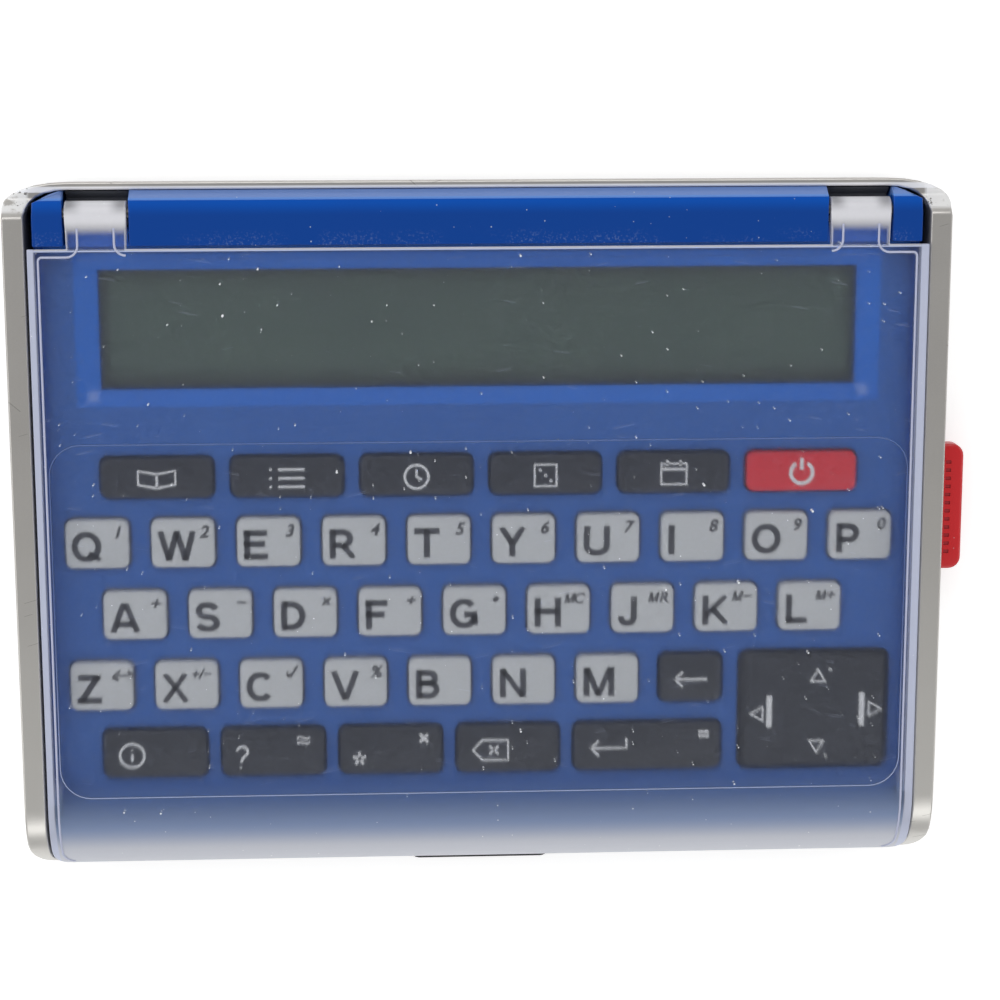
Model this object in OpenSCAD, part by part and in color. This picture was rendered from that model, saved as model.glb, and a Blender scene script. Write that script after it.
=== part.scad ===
// Pocket electronic dictionary with a frosted hinged lid, a letter keypad and a pull-out reference slip.
// X runs along the width, Y towards the hinge, Z up. The origin is the middle of the resting face.

/* [Casing] */
// Width over the two side rails
body_w = 127; // [126:0.5:134]
// Depth from the front of the rails to the back band
body_d = 97; // [96.5:0.5:104]
// Height of the side rails
rail_h = 14.6; // [14.4:0.1:15.2]
// Thickness of a side rail
rail_t = 2.9; // [2.2:0.1:3.2]
// Height of the band along the back
band_h = 12.6; // [12:0.1:12.8]
// Thickness of the band along the back
band_t = 1.2; // [1:0.1:1.4]
// Distance from the back of the casing to the foot of the rails' slope
slope_back = 2.5; // [2:0.1:3]
// Length of the slope where the rails come down to the band
slope_d = 2.5; // [1.5:0.1:4]
// Radius of the rounded nose of the rails, seen from the side
nose_r = 10.5; // [9.8:0.1:10.8]
// Radius of the front corners, seen from above
corner_r = 4.8; // [3.6:0.1:5.4]
// Reach of the rounded back corners along the width
cut_w = 8.5; // [7:0.1:9.5]
// Reach of the rounded back corners along the depth
cut_d = 3.6; // [3:0.1:4.5]
// Gap between the frame and the shells inside it
shell_gap = 0.3; // [0.2:0.05:0.4]

/* [Rear cover] */
// Thickness of the floor
floor_t = 1.6; // [1.4:0.1:1.8]
// Height at which the rails stand on the rear cover
base_h = 1.2; // [1:0.1:1.3]
// Setback of the base behind the outside of the rails
base_inset = 0.5; // [0.3:0.1:1]
// Height of the seam between the two shells
seam_h = 5; // [4.9:0.1:5.1]
// Thickness of the rear cover's walls
cover_wall = 1.4; // [1:0.1:1.6]
// Width of the thumb tab at the front
thumb_w = 20.4; // [14:0.2:30]
// Reach of the thumb tab in front of the casing
thumb_out = 1.8; // [1.5:0.1:4]
// Height of the thumb tab's upper face
thumb_h = 2.6; // [2:0.1:3.4]
// Thickness of the thumb tab
thumb_t = 1.8; // [1.2:0.1:2]
// Radius of the thumb tab's corners
thumb_r = 1.5; // [1:0.1:2]

/* [Front housing] */
// Height of the keypad deck
deck_h = 11.4; // [11.2:0.1:11.5]
// Thickness of the deck
deck_t = 1.4; // [1.2:0.1:1.5]
// Thickness of the housing's walls
wall_t = 1.6; // [1.4:0.1:2]
// Depth of the fascia's back bevel
bevel_d = 1.1; // [0.6:0.1:1.5]
// Drop of the fascia's back bevel
bevel_h = 1.8; // [1:0.1:2]
// Width of the hollow under the fascia
hollow_w = 70; // [40:1:72]

/* [Lid] */
// Height of the lid's flat top above the rails
lid_lift = 0.3; // [0.2:0.05:0.4]
// Thickness of the lid's plate
lid_t = 1.2; // [1.1:0.1:1.3]
// Thickness of the lid's side walls
lid_wall = 1.3; // [1.1:0.1:1.5]
// Depth of the skirt under the plate's edge
skirt_d = 0.6; // [0.4:0.05:0.65]
// Gap between the lid and the rails
lid_gap = 0.45; // [0.35:0.05:0.6]
// Gap between the lid and what it closes on
lid_rest = 0.3; // [0.25:0.05:0.4]
// Radius of the lid's front corners, seen from above
lid_corner = 3.5; // [3:0.1:4]
// Height of the raised panel on the lid
panel_t = 0.15; // [0.1:0.05:0.3]
// Margin from the lid's sides to the raised panel
panel_side = 1.85; // [1.5:0.05:4]
// Distance from the front of the rails to the raised panel
panel_front = 11.7; // [11:0.1:14]
// Depth of the raised panel
panel_d = 49.85; // [40:0.05:60]
// Corner radius of the raised panel
panel_r = 3.8; // [2:0.1:6]

/* [Hinge] */
// Distance from the back of the casing to the hinge axis
hinge_in = 4.5; // [4.4:0.05:4.7]
// Distance from the hinge axis to the lid's back edge
edge_reach = 4.8; // [4.7:0.05:5.2]
// Gap between the lid's back edge and the fascia
fascia_gap = 0.5; // [0.5:0.05:0.7]
// Distance from the housing's side to a hinge arm
arm_side = 5.3; // [4.8:0.05:8]
// Width of a hinge arm
arm_w = 7.85; // [6:0.05:9]
// Thickness of a hinge arm
arm_t = 1.5; // [1.2:0.1:1.6]
// Side gap between an arm and its notch
arm_gap = 0.45; // [0.3:0.05:0.6]
// Radius of the hinge barrels
barrel_r = 1.7; // [1.6:0.05:1.75]
// Radius of the hinge pins
pin_r = 0.8; // [0.6:0.05:0.85]
// Gap beyond the ends of a pin
pin_end = 0.1; // [0.05:0.05:0.2]
// Length of pin held by the housing at each end
pin_hold = 1.8; // [1.2:0.1:2]
// Running clearance round a pin that turns
run_gap = 0.07; // [0.03:0.01:0.1]
// Clearance round a pin that is fixed
hold_gap = 0.02; // [0.01:0.01:0.03]

/* [Keys] */
// Margin from the housing's sides to the top letter row
key_side = 3.5; // [2.5:0.1:6]
// Space between the letter keys along a row
key_space = 3.07; // [2:0.01:3.5]
// Space between the rows of keys
row_space = 3.35; // [2.2:0.05:3.5]
// Distance from the front of the rails to the middle of the lowest row
low_row_front = 17.5; // [17:0.1:20]
// How much closer the lowest row is than the other rows
low_close = 0.25; // [0:0.05:0.5]
// How much closer the function keys are than the other rows
fn_close = 0.95; // [0.5:0.05:1.2]
// Distance from the middle of the function keys to the display window
fn_to_window = 11.9; // [9.5:0.1:14]
// Margin from the housing's sides to the function keys
fn_side = 8.6; // [6:0.1:14]
// Space between the function keys
fn_space = 2.55; // [1.8:0.05:4]
// How much shallower a function key is than a letter key
fn_slim = 1.3; // [0.6:0.1:2]
// Shift of the second letter row
row_shift = 4.85; // [3:0.05:6]
// Space between the keys in the lowest row
low_space = 2.2; // [1.6:0.05:3]
// How much wider the enter key is than its neighbours
enter_more = 6.4; // [2:0.1:9]
// Travel of a key
key_travel = 0.8; // [0.6:0.05:0.85]
// Height of a pressed key's top above the deck
key_low = 0.3; // [0.2:0.05:0.3]
// Gap round a key in the deck
key_gap = 0.25; // [0.2:0.05:0.3]
// Corner radius of a key
key_r = 1; // [0.6:0.1:1.4]
// Size of the step round the top of a key
key_step = 0.3; // [0.2:0.05:0.4]
// Reach of a key's flange beyond its hole
flange_out = 0.45; // [0.3:0.05:0.5]
// Thickness of a key's flange
flange_t = 0.8; // [0.6:0.1:0.9]
// Gap between a flange and the deck above it
flange_gap = 0.1; // [0.05:0.05:0.15]

/* [Direction pad] */
// Space between the direction pad and the keys beside it
pad_space = 2.9; // [1.9:0.05:4]
// Gap round the direction pad in the deck
pad_gap = 0.45; // [0.4:0.05:0.5]
// Thickness of the direction pad
pad_t = 2.4; // [2:0.1:2.5]
// Height of the two tilt axes
tilt_h = 8.6; // [8.5:0.05:8.7]
// Radius of the gimbal's rods
rod_r = 0.7; // [0.5:0.05:0.75]
// Reach of a rod beyond the pad's ears
rod_out = 0.3; // [0.1:0.1:0.5]
// Width of the gimbal's hub
hub_w = 5; // [4:0.1:5.4]
// Height of the gimbal's hub
hub_t = 1.8; // [1.6:0.1:1.9]
// Distance from the middle of the pad to its ears
ear_in = 3.4; // [3.3:0.1:3.6]
// Thickness of an ear or lug that holds a rod
ear_t = 1.4; // [1.2:0.1:1.4]
// Width of an ear or lug
ear_w = 2.6; // [2.4:0.1:2.8]
// Reach of an ear or lug below the rod's axis
ear_drop = 1; // [0.95:0.05:1.05]
// Radius of the mat's domes under the direction pad
pad_dome_r = 1.5; // [1:0.1:1.7]
// Distance from the edges of the direction pad to those domes
pad_dome_in = 3.1; // [2.4:0.1:3.3]

/* [Display] */
// Margin from the housing's sides to the display window
window_side = 8.8; // [8:0.1:16]
// Depth of the display window
window_d = 16.3; // [14:0.1:16.4]
// Distance from the back of the casing to the window
window_back = 12.3; // [12.2:0.1:12.6]
// Width of the sloping border beside the window
bezel_side = 3.1; // [2:0.1:3.4]
// Width of the sloping border before and behind the window
bezel_end = 2.2; // [1.5:0.1:2.4]
// Drop of the sloping border
bezel_h = 1; // [0.6:0.1:1.1]
// Corner radius of the border
bezel_r = 2; // [1:0.1:3]
// Overlap of the lens and its seat behind the window
lens_lap = 1.7; // [1.2:0.1:1.8]
// Thickness of the display lens
lens_t = 0.8; // [0.6:0.1:0.8]
// Thickness of the gasket behind the lens
gasket_t = 0.5; // [0.4:0.1:0.5]
// Thickness of the display panel
panel_glass_t = 1.1; // [1:0.1:1.2]
// Width of the rubber connector under the panel
strip_w = 2; // [1.5:0.1:2.4]

/* [Inside] */
// Height of the circuit board's upper face
board_h = 6.8; // [6.7:0.05:6.9]
// Thickness of the circuit board
board_t = 1; // [0.8:0.1:1]
// Gap between the circuit board and the casing walls
board_gap = 1.1; // [0.8:0.1:1.4]
// Thickness of the keypad mat
mat_t = 0.5; // [0.4:0.05:0.55]
// Radius of the domes on the mat
dome_r = 2.2; // [1.6:0.1:2.4]
// Gap between a dome and the key above it
dome_gap = 0.05; // [0.02:0.01:0.08]
// Radius of the screw bosses
boss_r = 2.3; // [2.2:0.1:2.4]
// Radius of the screw posts on the floor
post_r = 3.2; // [3:0.1:3.4]
// Height at which a boss stands on its post
boss_h = 3.2; // [3:0.1:3.3]
// Radius of the screw shanks
screw_r = 0.95; // [0.8:0.05:1]
// Radius of the screw heads
head_r = 1.9; // [1.7:0.05:2]
// Thickness of the screw heads
head_t = 1.1; // [0.9:0.1:1.1]
// Clearance round the screws
screw_gap = 0.05; // [0.03:0.01:0.08]
// Length of the screws below their heads
screw_l = 6.4; // [5:0.1:6.4]
// Length of the cuts in a screw's head
slot_l = 2.2; // [1.6:0.1:2.6]
// Width of the cuts in a screw's head
slot_w = 0.5; // [0.4:0.1:0.7]
// Depth of the cuts in a screw's head
slot_depth = 0.6; // [0.3:0.1:0.7]
// Distance from an arm's notch to the screw beside it
back_screw_in = 6.6; // [5:0.1:8]
// Distance from the hinge axis to the back screws
back_screw_y = 1.5; // [1:0.1:1.8]
// Distance from the function keys to the side screws
side_screw_y = 2.4; // [2.2:0.1:2.8]
// Distance from the nose's ends to the front screws
front_screw_in = 4.75; // [4.2:0.05:6]
// Radius of the posts under the circuit board
rest_r = 1.4; // [1:0.1:1.8]
// Radius of the sound disc
buzzer_r = 7.5; // [6:0.1:8]
// Radius of the crystal on the sound disc
crystal_r = 5.2; // [4:0.1:5.8]
// Thickness of the sound disc's plate
buzzer_t = 0.3; // [0.2:0.05:0.4]
// Distance from the middle of the casing to the sound disc
buzzer_x = 14; // [10:0.5:18]
// Distance from the middle of the sound disc to its holes
sound_r = 3; // [2:0.1:4]
// Radius of a sound hole
sound_hole_r = 0.6; // [0.4:0.1:0.8]
// Radius of the blob that covers the chip
chip_r = 5; // [4:0.1:6]
// Height of the blob that covers the chip
chip_t = 1; // [0.6:0.1:1]
// Distance from the middle of the casing to the chip
chip_x = 16; // [14:0.5:18]

/* [Battery] */
// Radius of the coin cell
cell_r = 10; // [8:0.1:10.2]
// Thickness of the coin cell
cell_t = 3.2; // [2.6:0.1:3.2]
// Size of the step round the cell's lower cap
cell_step = 0.4; // [0.2:0.1:0.8]
// Gap round the coin cell in its pocket
cell_gap = 0.3; // [0.2:0.05:0.4]
// Thickness of the pocket's walls
pocket_t = 1.2; // [1:0.1:1.4]
// Gap between the pocket and the rear cover's side wall
pocket_side = 1.8; // [1.6:0.1:3]
// Thickness of the contact strips
contact_t = 0.25; // [0.2:0.05:0.3]
// Width of the contact strips
contact_w = 3; // [2:0.1:5]
// Length of the contact strip over the cell
contact_l = 11; // [8:0.5:14]
// Width of the contact's legs
leg_w = 1; // [0.6:0.1:1.4]
// Width of the grip grooves on the battery door
grip_w = 0.8; // [0.5:0.1:1]
// Length of the grip grooves on the battery door
grip_l = 10; // [6:0.5:16]
// Ledge on which the battery door's tongues run
door_ledge = 0.8; // [0.6:0.1:1]
// Sliding gap round the battery door
door_gap = 0.2; // [0.15:0.05:0.25]

/* [Reference slip] */
// Width of the pull tab
tab_d = 17.95; // [17.4:0.05:18.5]
// Reach of the pull tab beyond its rail
tab_out = 4.5; // [3.5:0.1:6]
// Thickness of the pull tab
tab_t = 2.8; // [2.4:0.1:3]
// Gap between the pull tab and the rail
tab_gap = 0.3; // [0.2:0.05:0.5]
// Distance from the middle of the casing to the middle of the slip
slip_y = 1.4; // [1:0.1:2]
// Height of the middle of the slip
slip_h = 4.3; // [4.25:0.05:4.35]
// Thickness of the slip
slip_t = 0.8; // [0.6:0.1:0.8]
// Margin from the pull tab's ends to the slip's edges
slip_margin = 0.8; // [0.6:0.1:1]
// Length of the slip
slip_l = 64; // [58:1:66]
// Gap round the slip in its guides
slip_gap = 0.3; // [0.2:0.05:0.3]
// Thickness of the guides' walls
guide_t = 1.2; // [1:0.1:1.4]
// Width of the runners under the slip
runner_w = 1.6; // [1:0.1:2.5]
// Width of the lips over the slip
lip_w = 1.1; // [0.6:0.1:1.5]
// Distance from the rear cover's side wall to the lips
lip_back = 8; // [2:0.5:14]
// Radius of the pull tab's outer corners
tab_r = 1.5; // [0.8:0.1:1.6]
// Number of grip dots on the pull tab
dots = 12; // [6:1:12]
// Distance between the grip dots
dot_pitch = 1.2; // [1:0.05:1.3]
// Radius of a grip dot
dot_r = 0.35; // [0.2:0.05:0.4]
// Depth of a grip dot
dot_depth = 0.2; // [0.1:0.05:0.3]

/* [Reset button] */
// Radius of the pinhole
hole_r = 0.9; // [0.8:0.05:1]
// Radius of the button's stem
stem_r = 1; // [0.9:0.05:1.1]
// Radius of the button's flange
reset_r = 1.5; // [1.4:0.05:1.6]
// Thickness of the button's flange
reset_flange = 0.7; // [0.5:0.1:0.9]
// Gap round the button's flange
reset_gap = 0.1; // [0.05:0.05:0.15]
// Setback of the button's tip in the pinhole
reset_setback = 0.5; // [0.3:0.1:0.8]
// Travel of the reset button
reset_travel = 0.6; // [0.4:0.05:0.7]
// Thickness of the sleeve round the reset button
sleeve_t = 1.2; // [0.8:0.1:1.4]
// Distance from the window's end to the reset button
reset_in = 6.5; // [4:0.1:9]

/* [Hidden] */
$fn = 48;
corner_steps = 6;
eps = 0.01;
front = -body_d / 2;
back = body_d / 2;
nose_y = front + nose_r;
nose_z = rail_h - nose_r;
frame_in = body_w / 2 - rail_t;
shell_w = frame_in - shell_gap;
shell_back = back - band_t - shell_gap;
cut_w_in = cut_w - rail_t;

lid_half = frame_in - lid_gap;
lid_in = lid_half - lid_wall;
lid_top = rail_h + lid_lift;
lid_r = nose_r + lid_lift;
lid_under = lid_top - lid_t;
skirt_z = lid_under - skirt_d;
lid_front = nose_y - lid_r;
lip_z = nose_z + lid_rest;

hinge_y = back - hinge_in;
hinge_z = lid_top - barrel_r;
lid_back = hinge_y - edge_reach;
fascia_y = lid_back + fascia_gap;
arm_in = shell_w - arm_side - arm_w;
notch_in = arm_in - arm_gap;
notch_w = arm_w + 2 * arm_gap;

deck_low = deck_h - deck_t;
wall_front = nose_y + lid_rest;
nose_half = lid_in - shell_gap;
nose_out = nose_r - (rail_h - deck_h);
nose_in = nose_out - deck_t;

key_pitch = (2 * (shell_w - key_side) + key_space) / 10;
key_w = key_pitch - key_space;
first_x = -4.5 * key_pitch;
last_edge = 4.5 * key_pitch + key_w / 2;
fn_pitch_x = (2 * (shell_w - fn_side) + fn_space) / 6;
fn_w = fn_pitch_x - fn_space;
first_fn_x = -2.5 * fn_pitch_x;
back_x = first_x + 7 * key_pitch;
back_edge = back_x + key_w / 2;
low_w = (back_edge - first_x - enter_more - 4 * low_space) / 5;
low_pitch_x = low_w + low_space;
enter_w = low_w + enter_more;
first_low_x = first_x + low_w / 2;
enter_x = back_edge - enter_w / 2;

window_w = 2 * (shell_w - window_side);
window_y = back - window_back - window_d / 2;
low_y = front + low_row_front;
fn_y = window_y - window_d / 2 - fn_to_window;
row_pitch = (fn_y - low_y + low_close + fn_close) / 4;
row3_y = low_y + row_pitch - low_close;
row2_y = row3_y + row_pitch;
row1_y = row2_y + row_pitch;
key_d = row_pitch - row_space;
fn_d = key_d - fn_slim;
key_top = deck_h + key_travel + key_low;
flange_top = deck_low - flange_gap;
stem_low = flange_top - flange_t;
dome_top = stem_low - dome_gap;

pad_w = last_edge - back_edge - pad_space;
pad_d = row3_y - low_y + key_d;
pad_x = last_edge - pad_w / 2;
pad_y = (row3_y + low_y) / 2;
pad_low = key_top - pad_t;
lug_in = pad_d / 2 + pad_gap + pin_end;

seat_w = window_w + 2 * lens_lap;
seat_d = window_d + 2 * lens_lap;
lens_low = deck_low - lens_t;
gasket_low = lens_low - gasket_t;
panel_low = gasket_low - panel_glass_t;

board_low = board_h - board_t;
board_half = shell_w - wall_t - board_gap;
board_front = low_y - key_d / 2 - 2 * board_gap;
board_back = window_y + seat_d / 2 + shell_gap;
mat_back = fn_y + fn_d / 2 + flange_out + board_gap;
mat_half = board_half - 0.8;
mat_top = board_h + mat_t;

side_x = shell_w - wall_t - boss_r + 0.2;
side_y = fn_y + fn_d / 2 + side_screw_y;
SCREWS = [
    for (s = [-1, 1]) [s * (notch_in - back_screw_in), hinge_y - back_screw_y],
    for (s = [-1, 1]) [s * side_x, side_y],
    for (s = [-1, 1]) [s * (nose_half - front_screw_in), nose_y - 0.5]
];
head_low = floor_t - head_t;
RESTS = [
    for (i = [1, 4, 8]) [first_x + i * key_pitch, row3_y],
    [-chip_x - chip_r - 2 * rest_r, window_y],
    [buzzer_x + buzzer_r + 4 * post_r, window_y]
];

pocket_r = cell_r + cell_gap;
cell_x = -(shell_w - cover_wall - pocket_r - pocket_side);
cell_y = side_y + post_r + pocket_r + 0.6;
cell_low = floor_t + 0.1;
pocket_out = cell_x - pocket_r - pocket_t - shell_gap;
door_half = pocket_r + door_ledge;
door_in = cell_x + pocket_r + door_ledge;
door_out = -(body_w / 2 - base_inset);
groove_low = 0.5;
groove_top = 1.1;

slip_d = tab_d - 2 * slip_margin;
slip_low = slip_h - slip_t / 2;
slip_top = slip_h + slip_t / 2;
tab_x = body_w / 2 + tab_gap;
slip_end = tab_x + tab_out / 2;
guide_end = slip_end - slip_l - 2;

reset_x = window_w / 2 - reset_in;
reset_y = window_y;

// Each key: node name, centre X, centre Y, width, depth, tint
LETTERS = ["qwertyuiop", "asdfghjkl", "zxcvbnm"];
ROW_X = [first_x, first_x + row_shift, first_x];
ROW_Y = [row1_y, row2_y, row3_y];
FN_NAMES = ["key_book", "key_lists", "key_timer", "key_games", "key_planner"];
LOW_NAMES = ["key_help", "key_question", "key_star", "key_clear"];
light_tint = [0.84, 0.85, 0.84];
dark_tint = [0.12, 0.13, 0.15];
red_tint = [0.78, 0.12, 0.16];
KEYS = [
    for (r = [0:2])
        for (i = [0:len(LETTERS[r]) - 1])
            [str("key_", LETTERS[r][i]), ROW_X[r] + i * key_pitch, ROW_Y[r], key_w, key_d, light_tint],
    ["key_back", back_x, row3_y, key_w, key_d, dark_tint],
    for (i = [0:4]) [FN_NAMES[i], first_fn_x + i * fn_pitch_x, fn_y, fn_w, fn_d, dark_tint],
    ["key_power", first_fn_x + 5 * fn_pitch_x, fn_y, fn_w, fn_d, red_tint],
    for (i = [0:3]) [LOW_NAMES[i], first_low_x + i * low_pitch_x, low_y, low_w, key_d, dark_tint],
    ["key_enter", enter_x, low_y, enter_w, key_d, dark_tint]
];

// A box given by its low and high corners
module box(low, high) {
    translate(low) cube(high - low);
}

// A rectangle with round corners, centred
module rounded(w, d, r) {
    square([w - 2 * r, d], center = true);
    square([w, d - 2 * r], center = true);
    for (sx = [-1, 1])
        for (sy = [-1, 1])
            translate([sx * (w / 2 - r), sy * (d / 2 - r)]) circle(r);
}

// A quarter of an ellipse that starts at the given angle
function bend(x, y, rx, ry, start) = [
    for (i = [0:corner_steps])
        [x + rx * cos(start + 90 * i / corner_steps), y + ry * sin(start + 90 * i / corner_steps)]
];

// Plan of the casing or a shell: half width, front, back, reach of the back corners, front corner radius
module plan(half, y0, y1, cw, cd, r) {
    polygon(concat(
        bend(half - cw, y1 - cd, cw, cd, 0),
        bend(-half + cw, y1 - cd, cw, cd, 90),
        bend(-half + r, y0 + r, r, r, 180),
        bend(half - r, y0 + r, r, r, 270)
    ));
}

module casing_plan(inset) {
    plan(body_w / 2 - inset, front + inset, back - inset, cut_w - inset, cut_d - inset, corner_r - inset);
}

module shell_plan(inset) {
    plan(shell_w - inset, front + shell_gap + inset, shell_back - inset, cut_w_in - inset, cut_d - inset,
         corner_r - shell_gap - inset);
}

// Stands a side view, drawn as Y and Z, across the whole width given
module across(half) {
    rotate([90, 0, 90]) translate([0, 0, -half]) linear_extrude(2 * half) children();
}

// The round nose in side view, down to the height given
module nose(r, low) {
    intersection() {
        translate([nose_y, nose_z]) circle(r, $fn = 96);
        translate([nose_y - r, nose_z]) square([r + eps, r]);
    }
    translate([nose_y - r, low]) square([r + eps, nose_z - low + eps]);
}

module rail_profile() {
    nose(nose_r, base_h);
    translate([nose_y, base_h]) square([back - nose_y, band_h - base_h]);
    polygon([
        [nose_y, band_h - eps],
        [back - slope_back, band_h - eps],
        [back - slope_back - slope_d, rail_h],
        [nose_y, rail_h]
    ]);
}

module side_frame() {
    color([0.66, 0.65, 0.63])
    difference() {
        intersection() {
            across(body_w / 2) rail_profile();
            linear_extrude(rail_h + 1) casing_plan(0);
        }
        translate([0, 0, -1]) linear_extrude(rail_h + 3)
            plan(frame_in, lid_front - lid_gap, back - band_t, cut_w_in, cut_d, lid_corner + lid_gap);
        box([frame_in - 1, slip_y - slip_d / 2 - slip_gap, slip_low - slip_gap],
            [body_w, slip_y + slip_d / 2 + slip_gap, slip_top + slip_gap]);
    }
}

module cover_tray() {
    linear_extrude(base_h) casing_plan(base_inset);
    difference() {
        linear_extrude(seam_h) shell_plan(0);
        translate([0, 0, floor_t]) linear_extrude(seam_h) shell_plan(cover_wall);
        box([-body_w, front - 1, nose_z], [body_w, wall_front, seam_h + 1]);
    }
    hull() {
        for (s = [-1, 1])
            translate([s * (thumb_w / 2 - thumb_r), front - thumb_out + thumb_r, thumb_h - thumb_t])
                cylinder(r = thumb_r, h = thumb_t, $fn = 32);
        box([-thumb_w / 2, front, thumb_h - thumb_t], [thumb_w / 2, front + thumb_r, thumb_h]);
    }
}

// Side walls, lower runners and upper lips that hold the slip
module slip_guides() {
    inner = slip_d / 2 + slip_gap;
    wall_x = shell_w - cover_wall + eps;
    lip_low = slip_top + slip_gap / 2;
    for (s = [-1, 1])
        translate([0, slip_y, 0]) mirror([0, s < 0 ? 1 : 0, 0]) {
            box([guide_end, inner, floor_t - eps], [wall_x, inner + guide_t, seam_h]);
            box([guide_end, inner - runner_w, floor_t - eps], [wall_x, inner + eps, slip_low - slip_gap]);
            box([guide_end, inner - lip_w, lip_low], [wall_x - lip_back, inner + eps, seam_h]);
        }
}

module cell_pocket() {
    difference() {
        box([cell_x - pocket_r - pocket_t, cell_y - pocket_r - pocket_t, floor_t - eps],
            [cell_x + pocket_r + pocket_t, cell_y + pocket_r + pocket_t, seam_h]);
        box([cell_x - pocket_r, cell_y - pocket_r, 0], [cell_x + pocket_r, cell_y + pocket_r, seam_h + 1]);
    }
}

// The opening that the battery door closes, with grooves for the door's tongues
module door_opening() {
    box([-body_w, cell_y - pocket_r, -1], [door_in - door_ledge, cell_y + pocket_r, groove_low]);
    box([-body_w, cell_y - door_half, groove_low - eps], [door_in, cell_y + door_half, groove_top]);
    box([-body_w, cell_y - pocket_r, -1], [pocket_out, cell_y + pocket_r, groove_top]);
    box([cell_x - pocket_r, cell_y - pocket_r, -1], [cell_x + pocket_r, cell_y + pocket_r, floor_t + 1]);
}

// A post on the floor, up to the height given
module post(x, y, r, top) {
    translate([x, y, floor_t - eps]) cylinder(r = r, h = top - floor_t + eps);
}

module rear_cover() {
    color([0.09, 0.09, 0.1])
    difference() {
        union() {
            cover_tray();
            slip_guides();
            cell_pocket();
            for (p = SCREWS) post(p[0], p[1], post_r, boss_h);
            for (p = RESTS) post(p[0], p[1], rest_r, board_low);
            post(reset_x, reset_y, reset_r + sleeve_t, floor_t + 2 * reset_flange);
        }
        door_opening();
        for (p = SCREWS) translate([p[0], p[1], 0]) {
            translate([0, 0, -1]) cylinder(r = head_r + screw_gap, h = floor_t + 1);
            cylinder(r = screw_r + 2 * screw_gap, h = boss_h + 1);
        }
        translate([reset_x, reset_y, -1]) cylinder(r = hole_r, h = floor_t + 2);
        translate([reset_x, reset_y, floor_t]) cylinder(r = reset_r + reset_gap, h = seam_h);
        for (a = [0:60:300])
            translate([buzzer_x + sound_r * cos(a), window_y + sound_r * sin(a), -1])
                cylinder(r = sound_hole_r, h = floor_t + 2);
        box([shell_w - cover_wall - 1, slip_y - slip_d / 2 - slip_gap, slip_low - slip_gap],
            [shell_w + 1, slip_y + slip_d / 2 + slip_gap, seam_h + 1]);
    }
}

module deck() {
    difference() {
        translate([0, 0, deck_low]) linear_extrude(deck_t) union() {
            intersection() {
                plan(shell_w, front, shell_back, cut_w_in, cut_d, corner_r);
                translate([-body_w / 2, wall_front]) square([body_w, body_d]);
            }
            translate([-nose_half, nose_y]) square([2 * nose_half, 2]);
        }
        translate([0, 0, deck_low - 1]) linear_extrude(deck_t + 2) {
            for (k = KEYS)
                translate([k[1], k[2]]) rounded(k[3] + 2 * key_gap, k[4] + 2 * key_gap, key_r + key_gap);
            translate([pad_x, pad_y]) rounded(pad_w + 2 * pad_gap, pad_d + 2 * pad_gap, key_r + pad_gap);
            translate([0, window_y]) square([window_w, window_d], center = true);
        }
        bezel();
    }
}

// Outline that slopes outward from the inner half width to the outer one
module flare(inner, outer) {
    polygon([
        [-inner, 0],
        [inner, 0],
        [outer, bezel_h],
        [outer, bezel_h + 1],
        [-outer, bezel_h + 1],
        [-outer, bezel_h]
    ]);
}

// The sloping border that leads down to the window
module bezel() {
    half_w = window_w / 2 + bezel_side;
    half_d = window_d / 2 + bezel_end;
    translate([0, window_y, deck_h - bezel_h]) intersection() {
        rotate([90, 0, 90]) linear_extrude(2 * half_w, center = true) flare(window_d / 2, half_d);
        rotate([90, 0, 0]) linear_extrude(2 * half_d, center = true) flare(window_w / 2, half_w);
        linear_extrude(bezel_h + 1) rounded(2 * half_w, 2 * half_d, bezel_r);
    }
}

module housing_walls() {
    difference() {
        translate([0, 0, seam_h]) linear_extrude(deck_low - seam_h + eps) shell_plan(0);
        translate([0, 0, seam_h - 1]) linear_extrude(deck_low) shell_plan(wall_t);
        box([-body_w, front - 1, 0], [body_w, wall_front, rail_h]);
    }
    for (s = [-1, 1])
        mirror([s < 0 ? 1 : 0, 0, 0])
            box([shell_w - wall_t, wall_front, deck_low], [shell_w, fascia_y + eps, skirt_z - lid_rest]);
}

module housing_nose() {
    difference() {
        across(nose_half) nose(nose_out, floor_t + shell_gap);
        across(nose_half - deck_t) {
            nose(nose_in, 0);
            translate([nose_y - eps, 0]) square([1, deck_low]);
        }
    }
}

module fascia() {
    intersection() {
        translate([0, 0, deck_low]) linear_extrude(rail_h - deck_low)
            plan(shell_w, front, shell_back, cut_w_in, cut_d, corner_r);
        across(shell_w) polygon([
            [fascia_y, deck_low],
            [shell_back, deck_low],
            [shell_back, rail_h - bevel_h],
            [shell_back - bevel_d, rail_h],
            [fascia_y, rail_h]
        ]);
    }
}

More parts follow.
